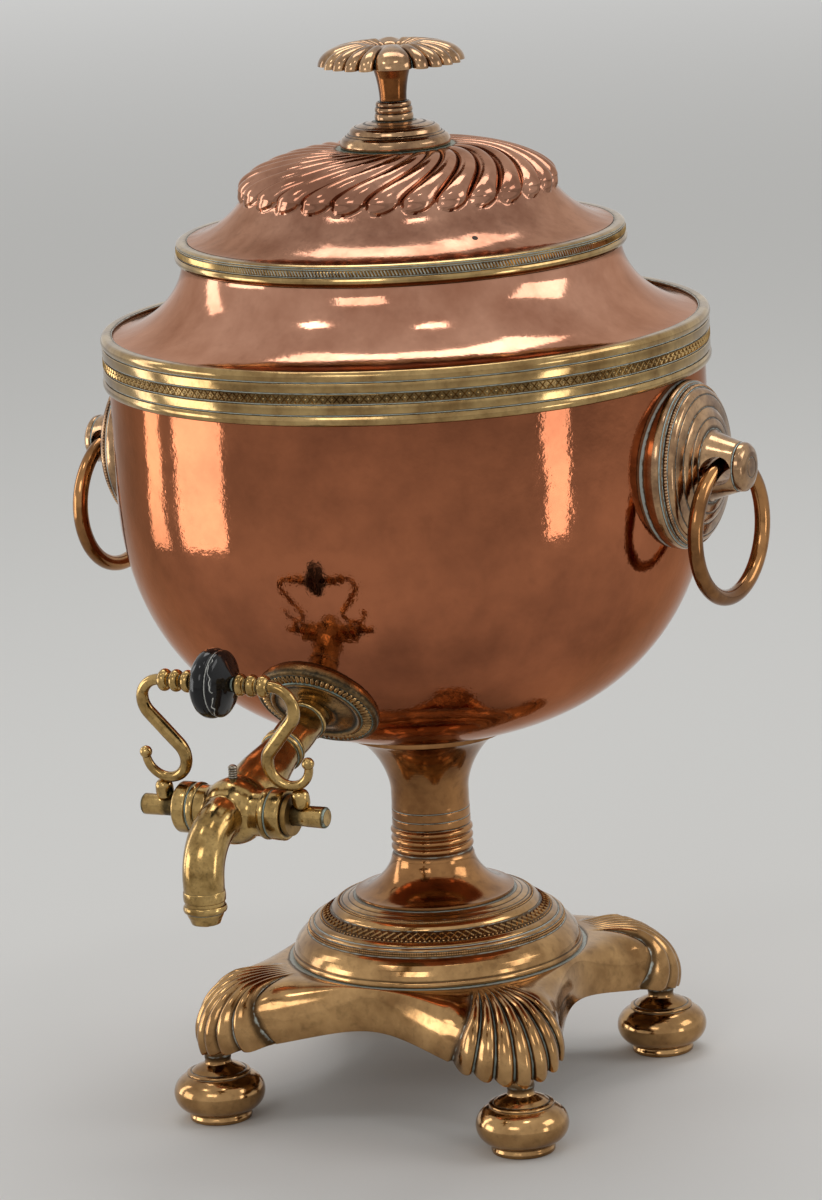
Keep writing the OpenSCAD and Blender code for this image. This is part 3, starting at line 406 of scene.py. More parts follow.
# The lid's copper is paler than the bowl's too: painted light from above on its upward-facing
# surface.
copper_lid_painted_light = worn_metal("beaten_copper_lid", "#B98A72", "#8E624E", "#3C2820", residue="#9DB5A8",
    patch=24, peel=1.5, wave=0.5, dent=0.06, grain=0.014, rough=(0.09, 0.17), stain=0.2,
    rim="#F2DDD0")
brass_band = worn_metal("turned_brass_band", "#BD9F6C", "#8A6C44", "#352817", residue="#CBD2CA",
    patch=16, rough=(0.09, 0.18), wave=0.03, chalky=0.95)
brass_cast = worn_metal("cast_brass_polished", "#BF9766", "#87643F", "#36281A", residue="#C3CCC4",
    patch=20, rough=(0.09, 0.19), wave=0.08, dent=0.015, chalky=0.85)
# A darker copy of the brass: on the column it is painted shade, standing for the shade and dark
# reflections under the bowl. The rings use the same darker brass.
brass_painted_shade = worn_metal("turned_brass_painted_shade", "#AE7E50", "#7B5433", "#33231A",
    residue="#BDC4B8", patch=24, rough=(0.09, 0.17), wave=0.06, dent=0.01, chalky=0.65)
stem_brown = worn_metal("browned_brass_stem", "#7E4E2A", "#52321A", "#24160C", residue="#B4C6C2",
    patch=12, rough=(0.1, 0.2), wave=0.04, stain=0.3, chalky=0.7)
plate_dark = worn_metal("cast_brass_dark_patina", "#B08A5A", "#6E5538", "#1C221F",
    residue="#93A89F", patch=7, rough=(0.12, 0.3), wave=0.05, stain=0.6, chalky=0.7)
steel_screw = worn_metal("cut_steel_screw", "#A79E90", "#71695E", "#2B2723", patch=3,
    rough=(0.25, 0.42), wave=0.02)
brass_tap = worn_metal("cast_brass_tap", "#C3A268", "#85683C", "#2C2619", residue="#A9BFB6",
    patch=9, rough=(0.11, 0.24), wave=0.05, grain=0.014, stain=0.5)
bronze_brown = worn_metal("browned_brass", "#BE9973", "#80624A", "#2E241C", residue="#B4C6C2",
    patch=10, rough=(0.1, 0.2), wave=0.03, stain=0.35, chalky=0.85)
iron_dark = worn_metal("wrought_iron_dark", "#4C4845", "#2E2C2B", "#1A1817", residue="#5C5148",
    patch=6, rough=(0.42, 0.62), wave=0.05, grain=0.03)
brass_hidden = worn_metal("brass_unpolished", "#9C7B48", "#6E5634", "#2E261A", patch=12,
    rough=(0.35, 0.5))
ebony = worn_metal("ebonised_wood", "#131214", "#0B0B0C", "#060606", residue="#C4C4BE", patch=7,
    rough=(0.06, 0.15), chalky=0.9)
wood = ebony.node_tree.nodes["Principled BSDF"].inputs
wood["Specular IOR Level"].default_value = 0.3
ebony.node_tree.links.remove(wood["Metallic"].links[0])
print("metals", [m.name for m in bpy.data.materials])

# %% [markdown]
# ## Bowl and neck
#
# The bowl was raised from one sheet of copper: a full curve below, a short straight wall above.
# The neck is a second sheet that sweeps in from the shoulder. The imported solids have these
# shapes in facets, which polished metal would show at once, so both are turned again from
# their formulas with enough rings for a clean mirror.

# %% Bowl
def skin_radius(z):
    """The bowl's radius at a height."""
    down = min(1, max(0, equator_z - z) / bowl_depth)
    return bowl_r * (1 - down ** bowl_fullness) ** (1 / bowl_fullness)


curve = quarter(bowl_r, bowl_depth, bowl_fullness, 90)
inner = quarter(bowl_r - sheet_t, bowl_depth - sheet_t, bowl_fullness, 60)
outline = [(r, equator_z - d) for r, d in reversed(curve)]
outline[0] = (0, pole_z, 0)
outline += [(bowl_r, rim_z), (bowl_r - sheet_t, rim_z)]
outline += [(max(r, 0), equator_z - d, 0) for r, d in inner]
outline[-1] = (0, pole_z + sheet_t, 0)
lathe("bowl_copper", outline, 0, "urn", copper_bowl, "copper", "bowl", sides=256)

# %% Neck
sweep_w = shoulder_r - neck_r
outside = [(shoulder_r - r, mouth_z - d) for r, d in quarter(sweep_w, neck_h, neck_fullness, 48)]
inside = [(shoulder_r - sheet_t - r, mouth_z - d) for r, d in quarter(sweep_w, neck_h + sheet_t,
    neck_fullness, 32)]
for i in range(6):
    outside[-1 - i] = outside[-1 - i][:2] + (max(0, 0.9 - 0.3 * i),)
outline = [(shoulder_r, rim_z - 8)] + outside[::-1] + inside + [(shoulder_r - sheet_t, rim_z - 8)]
lathe("neck_copper", outline, 0, "urn", copper_neck_painted_light, "copper", "shoulder_neck", sides=256)

# %% [markdown]
# ## Shoulder band
#
# A drawn brass band hides the seam between bowl and neck. Its face has a roll, flats and fine
# lines, and round its middle runs a stamped row of crosses. The band itself is turned; each
# corner is softened a little, since a sharp one never catches the light.

# %% Band
def band_face(low, high, out):
    pitch = (high - low) / 5
    face = [(out - 1.0, low, 0.5), (out - 0.35, low + 0.5), (out, low + 1.4),
        (out + 0.1, low + pitch / 2), (out, low + pitch - 1.3), (out - 0.3, low + pitch - 0.5)]
    for k in (1, 2, 3, 4):
        face += groove(out - 0.3, low + k * pitch, 0.75, 0.7)
        if k == 2:
            face += [(out - 0.75, low + k * pitch + 0.5, 0.52), (out - 0.75, low + 3 * pitch - 0.5,
                0.52)]
    top = low + 4 * pitch
    face += [(out - 0.3, top + 0.5), (out, top + 1.3), (out + 0.1, top + pitch / 2),
        (out - 0.1, high - 1.2), (out - 0.6, high - 0.3), (out - 1.4, high)]
    return face


band_top = band_z + band_h
outline = [(bowl_r + fit, band_z, 1)] + band_face(band_z, band_top, bowl_r + band_t)
outline += [(shoulder_r + 0.3, band_top, 0.3), (shoulder_r - 0.5, band_top - 0.15, 1),
    (shoulder_r - 0.5, shoulder_z + fit), (shoulder_r + fit, shoulder_z + fit),
    (shoulder_r + fit, rim_z + fit), (bowl_r + fit, rim_z + fit)]
lathe("band_brass", outline, 0.25, "urn", brass_band, "brass", "shoulder_band", sides=288)

# %% [markdown]
# ## Rows of stamped ornament
#
# The band, the lid ring, the foot, the plate and the bosses all carry rows of one tiny motif,
# repeated up to 416 times. An Array modifier could repeat it, but a Geometry Nodes tree does it
# with plain inputs: a circle gives one point for each motif, its index gives the turn, and the
# instances are made real at the end, because a finished piece is one plain mesh.

# %% The row tree
row_tree = bpy.data.node_groups.new("ornament_row", "GeometryNodeTree")
sockets = {}
for label, kind, default in (("Motif", "NodeSocketObject", None), ("Count", "NodeSocketInt", 12),
        ("Radius", "NodeSocketFloat", 0.05), ("Height", "NodeSocketFloat", 0.0),
        ("Tilt", "NodeSocketFloat", 0.0), ("Finish", "NodeSocketMaterial", None)):
    item = row_tree.interface.new_socket(name=label, in_out="INPUT", socket_type=kind)
    sockets[label] = item.identifier
    if default is not None:
        item.default_value = default
row_tree.interface.new_socket(name="Geometry", in_out="OUTPUT", socket_type="NodeSocketGeometry")
sizes = add(row_tree, "NodeGroupInput").outputs
motif = add(row_tree, "GeometryNodeObjectInfo", {"Object": sizes["Motif"]})
circle = add(row_tree, "GeometryNodeMeshCircle", {"Vertices": sizes["Count"],
    "Radius": sizes["Radius"]})
step = add(row_tree, "ShaderNodeMath", {1: sizes["Count"]}, {0: tau}, operation="DIVIDE")
order = add(row_tree, "GeometryNodeInputIndex")
angle = add(row_tree, "ShaderNodeMath", {0: order.outputs[0], 1: step.outputs[0]},
    operation="MULTIPLY")
spin = add(row_tree, "ShaderNodeCombineXYZ", {"Y": sizes["Tilt"], "Z": angle.outputs[0]})
copies = add(row_tree, "GeometryNodeInstanceOnPoints", {"Points": circle.outputs["Mesh"],
    "Instance": motif.outputs["Geometry"], "Rotation": spin.outputs[0]})
lift = add(row_tree, "ShaderNodeCombineXYZ", {"Z": sizes["Height"]})
raised = add(row_tree, "GeometryNodeTransform", {"Geometry": copies.outputs[0],
    "Translation": lift.outputs[0]})
real = add(row_tree, "GeometryNodeRealizeInstances", {"Geometry": raised.outputs[0]})
painted = add(row_tree, "GeometryNodeSetMaterial", {"Geometry": real.outputs[0],
    "Material": sizes["Finish"]})
add(row_tree, "NodeGroupOutput", {"Geometry": painted.outputs[0]})


def ornament_row(name, shape, count, radius, height, body, material, slot, tilt=0.0,
        place=Matrix()):
    """Repeats a small mesh on a circle, in millimetres and degrees, as one plain mesh."""
    stamp, holder = put("stamp", shape), put("holder", bpy.data.meshes.new("holder"))
    tool = holder.modifiers.new("row", "NODES")
    tool.node_group = row_tree
    for label, value in (("Motif", stamp), ("Count", count), ("Radius", radius * mm),
            ("Height", height * mm), ("Tilt", radians(tilt)), ("Finish", material)):
        tool[sockets[label]] = value
    mesh = plain(holder)
    bpy.data.objects.remove(stamp)
    mesh.transform(place)
    shade(mesh, 50)
    keep(name, mesh, body, material, slot)


# %% The motifs: each faces outwards along X, with Z up
def ridge(points, faces, length, wide, high, turn):
    """Adds a small roof-shaped bar, turned in the surface by turn degrees."""
    c, s, base = cos(radians(turn)), sin(radians(turn)), len(points)
    for x, y, z in ((-0.15, -wide / 2, -length / 2), (-0.15, wide / 2, -length / 2),
            (high, 0, -length / 2 + wide * 0.4), (-0.15, -wide / 2, length / 2),
            (-0.15, wide / 2, length / 2), (high, 0, length / 2 - wide * 0.4)):
        points.append((x, y * c - z * s, y * s + z * c))
    faces += [tuple(base + i for i in f) for f in ((0, 2, 1), (3, 4, 5), (0, 3, 5, 2), (1, 2, 5, 4),
        (0, 1, 4, 3))]


def dot(points, faces, r, high, y, z, sides=8):
    """Adds a small round bead that stands out of the surface."""
    base = len(points)
    for share, out in ((1.0, -0.1), (0.9, 0.5), (0.5, 0.9)):
        for j in range(sides):
            a = tau * j / sides
            points.append((high * out, y + r * share * cos(a), z + r * share * sin(a)))
    points.append((high, y, z))
    for k in (0, 1):
        for j in range(sides):
            i = (j + 1) % sides
            faces.append((base + k * sides + j, base + k * sides + i, base + (k + 1) * sides + i,
                base + (k + 1) * sides + j))
    inner = base + 2 * sides
    faces += [(inner + j, inner + (j + 1) % sides, inner + sides) for j in range(sides)]
    faces.append(tuple(base + j for j in reversed(range(sides))))


def stamp(ridges=(), dots=()):
    points, faces = [], []
    for bar in ridges:
        ridge(points, faces, *bar)
    for bead in dots:
        dot(points, faces, *bead)
    return surface(points, faces)


cross_stamp = stamp([(4.0, 0.6, 0.45, 42), (4.0, 0.6, 0.45, -42)], [(0.45, 0.35, 1.7, 0, 6)])
rope_stamp = stamp([(2.6, 0.9, 0.5, 24)])
bead_stamp = stamp(dots=[(0.72, 0.75, 0, 0)])
ornament_row("band_crosses", cross_stamp, 218, bowl_r + band_t - 0.72, band_z + band_h / 2, "urn",
    brass_band, "brass")

# %% [markdown]
# ## Lid
#
# The lid was beaten over a stake: a hollow brim sweeps up to a low dome with 28 swirled lobes,
# each a drop with a round end. A Displace modifier with a texture could raise them, but a lobe
# is a simple rule, so the skin is a loft whose every point knows how far across and along its
# lobe it lies. The valleys keep old polish and get painted shade, so they go into the recess
# value.

# %% Lobed dome
def brim_at(t):
    return lid_edge_r - brim_w * sin(t) ** (4 / 3), dome_foot_z - brim_h * max(0, cos(t)) ** (4 / 3)


def dome_at(t):
    return (dome_flat_r + (dome_foot_r - dome_flat_r) * max(0, cos(t)) ** 1.3,
        dome_foot_z + dome_h * sin(t) ** 1.3)


across, end_round = 18, 6.6  # columns of points per lobe; millimetres its round end takes up
columns = lobes * across
skin = [brim_at(pi / 2 * (i / 36) ** 0.9) for i in range(37)]
skin += [dome_at(pi / 2 * i / 84) for i in range(1, 85)]
rows, hollows, walked = [], [], 0.0
for k, (r, z) in enumerate(skin):
    ahead, behind = skin[min(k + 1, len(skin) - 1)], skin[max(k - 1, 0)]
    slope = Vector((ahead[0] - behind[0], ahead[1] - behind[1])).normalized()
    along = max(0.0, (lobe_end_r - r) / (lobe_end_r - dome_flat_r))
    if along > 0 and k:
        walked += hypot(r - skin[k - 1][0], z - skin[k - 1][1])
    row, hollow = [], []
    for j in range(columns):
        v = 2 * ((j % across) / across) - 1
        inside_end = 1 - (v / 0.98) ** 2 - (max(0.0, end_round - walked) / end_round) ** 2
        rise = max(0.0, inside_end) ** 0.5 if along > 0 else 0.0
        sunk = 1.2 * min(1, max(0, walked - 2.5) / 5) * (1 - along ** 4)
        high = (lobe_h * (1 - 0.6 * along) * (1 - along ** 6) + sunk) * rise - sunk
        a = radians(360 * j / columns + lobe_twist * along)
        rr, zz = r + high * slope.y, z - high * slope.x
        row.append((*polar(rr, a), zz))
        edge = 0.75 * min(1, walked / 9) * exp(-(inside_end / (0.13 + 0.1 * along)) ** 2)
        hollow.append(max(edge, exp(-((r - dome_flat_r) / 1.6) ** 2)) if k > 40 else edge)
    rows.append(row)
    hollows.append(hollow)
bottom = [(lid_edge_r, lid_edge_z - sheet_t)]
lining = [(dome_flat_r - 18, dome_top_z - sheet_t)]
lining += [dome_at(pi / 2 * i / 8) for i in range(7, -1, -1)]
lining += [brim_at(pi / 2 * i / 10) for i in range(8, -1, -1)]
lining[1:] = [(r - 2 * sheet_t, z - sheet_t) for r, z in lining[1:]]
for r, z in reversed(lining + bottom):
    rows.insert(0, [(*polar(r, tau * j / columns), z) for j in range(columns)])
    hollows.insert(0, [0.0] * columns)
keep("lid_copper", loft(rows, hollows, angle=60), "lid", copper_lid_painted_light, "copper", "lid_dome")

# %% Vent eye on the brim
vent = turned([(0, -0.4), (1.15, -0.4), (1.15, 0.05, 0), (0.95, 0.16, 0), (0.8, 0.05, 1),
    (0, 0.05, 1)], sides=32)
vent_at, vent_up = (54.31, -45.16, 349.61), Vector((0.424, -0.352, 0.834))
vent.transform(at(*vent_at) @ Vector((0, 0, 1)).rotation_difference(vent_up).to_matrix().to_4x4())
keep("lid_vent_eye", vent, "lid", iron_dark, "iron")

# %% Lid ring
r, h = lid_ring_r, lid_ring_h
outline = ([(collar_r + fit, lid_z), (neck_r + 0.4, lid_z, 0.6)] + offset(r, lid_z, (-0.9, 0.6),
    (-0.1, 1.7), (0, 2.6), (-0.3, 3.5)))
outline += groove(r - 0.6, lid_z + 3.95, 0.5, 0.5)
outline += [(r - 1.05, lid_z + 4.3, 0.84), (r - 1.05, lid_z + 6.4, 0.84)]
outline += groove(r - 0.7, lid_z + 6.8, 0.6, 0.5) + groove(r - 0.75, lid_z + 7.6, 0.6, 0.4)
outline += [(r - 1.1, lid_z + 8.2), (r - 2.0, lid_z + 8.6), (lid_edge_r + 0.6, lid_z + h, 0.4),
    (lid_edge_r + fit, lid_z + h - 0.2, 1), (lid_edge_r + fit, lid_edge_z - sheet_t - fit),
    (collar_r - 2.6, lid_edge_z - sheet_t - fit), (collar_r - 2.6, lid_z + 2 + fit),
    (collar_r + fit, lid_z + 2 + fit)]
lathe("lid_ring_brass", outline, 0.2, "lid", brass_band, "brass", "lid_ring", sides=288)
ornament_row("lid_rope", rope_stamp, 416, r - 1.0, lid_z + 5.35, "lid", brass_band, "brass")

# %% [markdown]
# ## Finial
#
# A stepped base, a ringed stem and a cast flower: four plump petals stand crosswise, with four
# narrow ones between each two, and all of them turn down at the tip. The flower is a loft again:
# the share of the radius gives its height, the place across a petal gives the round of the
# finger, and the outline is drawn in between the petals.

# %% Base and stem
r, h = finial_base_r, finial_base_h
outline = [(0, 0), (r - 0.4, 0, 1), (r - 0.1, 0.5, 0.4), (r, 1.2), (r - 0.1, 2.6),
    (r - 0.8, 3.9)] + [(x * r, *p) for x, *p in ((0.91, 4.6), (0.895, 4.75, 0.9), (0.88, 5.0, 0.1),
    (0.865, 5.4), (0.85, 5.5, 0.9), (0.83, 5.7), (0.82, 6.3), (0.81, 7.1), (0.77, 7.9),
    (0.735, 8.15), (0.72, 8.1, 0.95), (0.70, 8.4), (0.6, 9.0), (0.55, 9.15, 0.8), (0.5, 9.4),
    (0.42, 9.7, 0.2), (0.38, h, 0.9))] + [(0, h)]
lathe("finial_base_brass", outline, 0.35, "lid", bronze_brown, "brass", "finial_base",
    place=at(0, 0, dome_top_z), sides=160)
outline = ([(0, 0)] + offset(stem_r, 0, (1.9, 0, 0.8), (2.2, 0.5), (2.3, 1.6), (2.1, 2.7),
    (1.7, 2.95, 1), (1.9, 3.2), (2.15, 4.2), (1.9, 5.2), (1.4, 5.45, 1), (1.6, 5.7), (1.7, 6.4),
    (1.4, 7.2), (0.2, 7.5, 1)) + [(0, 7.5)])
lathe("finial_rings_brass", outline, 0.3, "lid", bronze_brown, "bronze", place=at(0, 0, stem_z),
    sides=128)
outline = ([(0, 7.3)] + offset(stem_r, 0, (0.1, 7.3, 0.8), (0, 8.4), (0.1, 10.5), (0.45, 13.5),
    (1.0, 16.5), (1.8, 19.4, 0.2)) + [(stem_r + 2.2, stem_h, 0.7), (0, stem_h)])
lathe("finial_stem_brass", outline, 0.4, "lid", stem_brown, "bronze", "finial_stem",
    place=at(0, 0, stem_z), sides=128)

# %% Flower
# From and to in degrees, columns of points, plumpness, how deep its root lies, notch at its side
petal_spans = [(-17, 17, 34, 0.31, 0.14, 0.2)]
petal_spans += [(17 + 14 * i, 31 + 14 * i, 14, 0.27, 0.12, 0.15) for i in range(4)]
flower_columns = []
for q in range(4):
    for low, high, count, plump, sunk, notch in petal_spans:
        for j in range(count):
            angle = radians(-61 + 90 * q + low + (high - low) * j / count)
            flower_columns.append((angle, sqrt(1 - (2 * j / count - 1) ** 2), plump, sunk, notch))
rows, hollows = [], []


def flower_ring(share, drop, petalled=True):
    row, hollow = [], []
    for angle, finger, plump, sunk, notch in flower_columns:
        s = share * (1 - notch * (1 - finger ** 0.8) * share ** 3)
        reach = min(1, max(0, (s - 0.2) / 0.25))
        fold = min(1, max(0, (share - 0.4) / 0.6))
        top = -0.02 + 0.84 * sqrt(1 - fold ** 2) - 0.12 * exp(-((s - 0.2) / 0.05) ** 2)
        if petalled:
            swell = plump * (1 - 0.4 * share ** 8) * finger ** 0.7
            top += (swell - sunk * (1 - share ** 4)) * reach
            top += 0.2 * (1 - finger ** 0.7) * share ** 10
        row.append((*polar(flower_r * s, angle), flower_h * top - drop))
        hollow.append(max(0.95 * exp(-(finger / 0.4) ** 2) * reach,
            0.7 * exp(-((s - 0.2) / 0.04) ** 2)) if petalled else 0.3)
    rows.append(row)
    hollows.append(hollow)


for i in range(1, 37):
    flower_ring(0.82 * i / 36, 0.0)
for i in range(1, 15):
    flower_ring(0.82 + 0.18 * sin(pi / 2 * i / 14), 0.0)
for share, drop in ((0.985, 0.9), (0.95, 1.5), (0.88, 1.8), (0.75, 2.2), (0.55, 2.6), (0.38, 3.2)):
    flower_ring(share, drop, share > 0.9)
rows.append([(*polar(stem_r + 2.2, c[0]), 0) for c in flower_columns])
hollows.append([0.5] * len(flower_columns))
keep("flower_brass", loft(rows, hollows, at(0, 0, flower_z), 70), "lid", bronze_brown, "bronze",
    "finial_flower")

# %% [markdown]
# ## Handles
#
# Each boss is turned like a drawer knob: a polished roll at the bowl, a milled line, two steps
# and a cone nose, bored across for the ring. The bore and the bowl's curve are cut with a
# Boolean modifier, which is safer here than stitching the edge by hand.

# %% A cutting tool
def cut(piece_mesh, *cutters):
    """Takes closed meshes away from a mesh and returns the result as a plain mesh."""
    body = put("work", piece_mesh)
    tools = [put("cutter", cutter) for cutter in cutters]
    for tool in tools:
        step = body.modifiers.new("cut", "BOOLEAN")
        step.operation, step.solver, step.object = "DIFFERENCE", "EXACT", tool
    result = plain(body)
    for tool in tools:
        bpy.data.objects.remove(tool)
    shade(result)
    return result


def rod(radius, low, high, place, sides=64, end_radius=None):
    """A round bar, or a taper if its end has a radius of its own."""
    return turned([(0, low), (radius, low), (end_radius or radius, high), (0, high)], place, sides)


bedding = 0.04  # room under a piece that lies on the bowl
curve = quarter(bowl_r + bedding, bowl_depth + bedding, bowl_fullness, 70)
bowl_tool = [(r, equator_z - d, 0) for r, d in reversed(curve)] + [(bowl_r + bedding, rim_z + 20),
    (0, rim_z + 20)]
bowl_tool[0] = (0, pole_z - bedding, 0)

# %% Bosses with their milled line
hands = ((-1, "left"), (1, "right"))
mouth_r = nose_r + 0.6
sag = ring_r - sqrt(ring_r ** 2 - mouth_r ** 2)
hole_r = ring_bar_r + hypot(sag / 2, mouth_r * sin(radians(ring_askew))) + ring_gap
b = bowl_r
boss_face = [(0, -6), (31.5, -6), (31.6, -5), (31.7, -4), (31.8, -3), (31.9, -2), (32.1, -1),
    (32.2, 0), (32.3, 1), (32.2, 2.2), (31.9, 3.1), (31.5, 3.5, 1), (31.4, 3.75, 1), (31.3, 4.1),
    (30.9, 4.55, 1), (30.3, 4.8, 0.5), (30.05, 5.0, 0.6), (29.9, 5.9, 0.6), (29.5, 6.15, 1),
    (29.3, 6.5), (29.0, 7.2), (28.4, 7.8), (27.4, 8.2), (26.9, 8.2, 1), (26.4, 8.6), (24.5, 9.0),
    (22.8, 9.3), (22.2, 9.3, 1), (21.8, 9.9), (20.4, 10.6), (18.6, 11.0), (18.1, 11.0, 1),
    (17.6, 11.4), (15.4, 11.9, 0.2), (14.0, 12.0, 0.9), (13.4, 12.5, 0.3), (12.9, 13.3),
    (11.0, 18.6), (9.6, 22.9), (9.2, 23.3, 1), (9.2, 23.7, 0.8), (9.5, 24.3), (9.2, 25.8),
    (8.0, 27.0), (6.0, 27.7), (4.1, 27.9), (3.8, 27.7, 1), (3.5, 27.9), (0, 28)]
boss_face = [(r, b + z, *g) for r, z, *g in boss_face]
for side, word in hands:
    place = at(0, 0, handle_z, 90 * side, "Y")
    mesh = turned(softened(boss_face, 0.3), place, 160)
    bore_place = at(side * pivot_x, 0, handle_z, -90)
    mesh = cut(mesh, turned(bowl_tool, sides=192), rod(hole_r, -20, 20, bore_place))
    for vertex, value in zip(mesh.vertices, mesh.attributes["recess"].data):
        x, y, z = (1000 * c for c in vertex.co)
        if hypot(y, z - handle_z) > 31:
            value.value = max(value.value, exp(-((hypot(x, y) - skin_radius(z)) / 1.9) ** 4))
    keep(f"boss_brass_{word}", mesh, "urn", bronze_brown, "bronze", f"handle_boss_{word}")
    ornament_row(f"boss_beads_{word}", bead_stamp, 150, 30.0, b + 5.45, "urn", bronze_brown,
        "bronze", place=place)

# %% Rings
around, section = 144, 32  # points round the ring and round its bar
for side, word in hands:
    points = []
    for i in range(around):
        a = tau * i / around
        bar = ring_bar_r * (1 - 0.03 * sin(a) + 0.012 * sin(3 * a + side))
        for j in range(section):
            c = tau * j / section
            points.append((bar * sin(c), *polar(ring_r + bar * cos(c), a)))
    place = at(side * pivot_x, 0, handle_z - ring_r + sag / 2, -ring_askew, "Z")
    keep(f"ring_brass_{word}", surface(points, grid(around, section, True), place=place),
        f"ring_{word}", brass_painted_shade, "bronze", f"handle_ring_{word}")

# %% [markdown]
# ## Pedestal
#
# Column and foot are turned brass. The foot carries two milled lines and a stamped row of
# crosses on its slope, so those rows are tilted to lie on it.

# %% Column
f, low, top = column_flange_r, 15.5, column_h - 23
column = [(0, 0), (f - 0.4, 0, 1), (f, 0.4, 0.3), (f, 1.5)]
column += [(f - r, low - d) for r, d in reversed(quarter(f - waist_r - 1, low - 1.5, 1.6, 24))]
for i in range(3):
    z = low + 2 + (i + 0.5) * 2 * reed_r
    column += [(waist_r - 0.1, z - 1.7, 0.9)]
    column += arc(waist_r - 0.8, z, reed_r, 1.5, range(-66, 67, 22))
z = low + 2 + 6 * reed_r
column += [(waist_r - 0.1, z, 1), (waist_r + 0.2, z + 0.7, 0.1)]
column += groove(waist_r + 0.15, z + 3.4, 0.6, 0.3) + groove(waist_r + 0.1, z + 7, 0.6, 0.3)
column += [(waist_r, top - 6)]
column += [(f - r, top + d) for r, d in quarter(f - waist_r, 23, 1.6, 28)]


def on_bowl(r):
    down = (1 - (r / bowl_r) ** bowl_fullness) ** (1 / bowl_fullness)
    return equator_z - bowl_depth * down - foot_top_z - 0.05


column += [(f + 0.3, on_bowl(f) - 0.3, 0.2), (f, on_bowl(f), 1)]
column += [(r, on_bowl(r), 0) for r in (26, 20, 13, 6, 0)]
lathe("column_brass", column, 0.25, "urn", brass_painted_shade, "brass", "column",
    place=at(0, 0, foot_top_z), sides=176)

# %% Foot
foot = [(foot_r - cast_t, 0), (57.2, 0, 1), (57.6, 0.5, 0.4), (57.7, 1.2), (57.5, 2.1),
    (56.9, 2.6, 0.8), (56.9, 3.2), (56.5, 4.7), (55.6, 6.6), (54.2, 8.3), (52.8, 9.6), (51.7, 10.3),
    (51.2, 10.5, 1), (50.8, 10.9, 0.6), (50.5, 12.7, 0.6), (50.1, 12.9, 1), (50.1, 13.2),
    (49.7, 13.7), (49.1, 13.9), (48.7, 13.6, 1), (48.4, 13.8, 1), (48.1, 14.5), (47.3, 15.1),
    (46.5, 15.4), (46.1, 15.4, 0.8), (45.1, 16.0, 0.55), (41.8, 18.2, 0.55), (41.4, 18.5, 0.9),
    (41.2, 19.1), (40.7, 19.9), (39.9, 20.6), (39.3, 20.9), (38.9, 20.9, 0.8), (38.0, 21.3, 0.7),
    (37.6, 21.8), (37.0, 21.7, 1), (36.6, 22.0), (35.0, 22.5), (34.4, 22.5, 0.8), (34.0, 22.9),
    (32.9, 23.3), (32.3, foot_h, 1), (11.1, foot_h), (11.1, foot_h - 4), (column_flange_r + 0.6,
    foot_h - 4.6), (foot_r - 16 - cast_t, 0.62 * foot_h), (foot_r - 8 - cast_t, 0.4 * foot_h)]
lathe("foot_brass", foot, 0.25, "urn", brass_cast, "brass", "foot", place=at(0, 0, seat_z),
    sides=240)
pearl_stamp = stamp(dots=[(0.45, 0.45, 0, 0, 6)])
lattice_stamp = stamp([(4.4, 0.7, 0.5, 43), (4.4, 0.7, 0.5, -43)])
for i, (count, r, z, tilt, shape) in enumerate(((330, 50.75, 11.4, -10, pearl_stamp),
        (330, 50.55, 12.3, -10, pearl_stamp), (156, 45.6, 15.75, -57, pearl_stamp),
        (86, 43.45, 17.1, -57, lattice_stamp), (250, 38.45, 21.1, -62, pearl_stamp))):
    ornament_row(f"foot_row_{i + 1}", shape, count, r, seat_z + z, "urn", brass_cast, "brass", tilt)

# %% [markdown]
# ## Plinth and bun feet
#
# The square plinth sweeps out from the foot and ends in a fluted shell over each bun foot. Every
# upright line of its skin follows one rule, from the seat out and down to the edge, so it is a
# loft as well. Its lining is a second skin inside, since the plinth was cast hollow.

# %% Plinth
corner_r = foot_spread * sqrt(2) + corner_over
fan_r, fan_top_w, fan_edge_w = 22, 6, 15.5
fan_c = corner_r - fan_r
seat_r = foot_r + 1.2


def fan_edge(a):
    return fan_c * cos(a) + sqrt(max(0, fan_r ** 2 - (fan_c * sin(a)) ** 2))


side_end = fan_edge(radians(fan_edge_w)) * cos(radians(45 - fan_edge_w))


def plinth_edge(a):
    if a < fan_edge_w:
        return fan_edge(radians(a))
    across = 45 - a
    bow = (abs(across) / (45 - fan_edge_w)) ** 2
    return (side_half + (side_end - side_half) * bow) / cos(radians(across))


flute_cols, side_cols = 14, 40  # columns of points
fan_cols = flutes * flute_cols
quad = fan_cols + side_cols


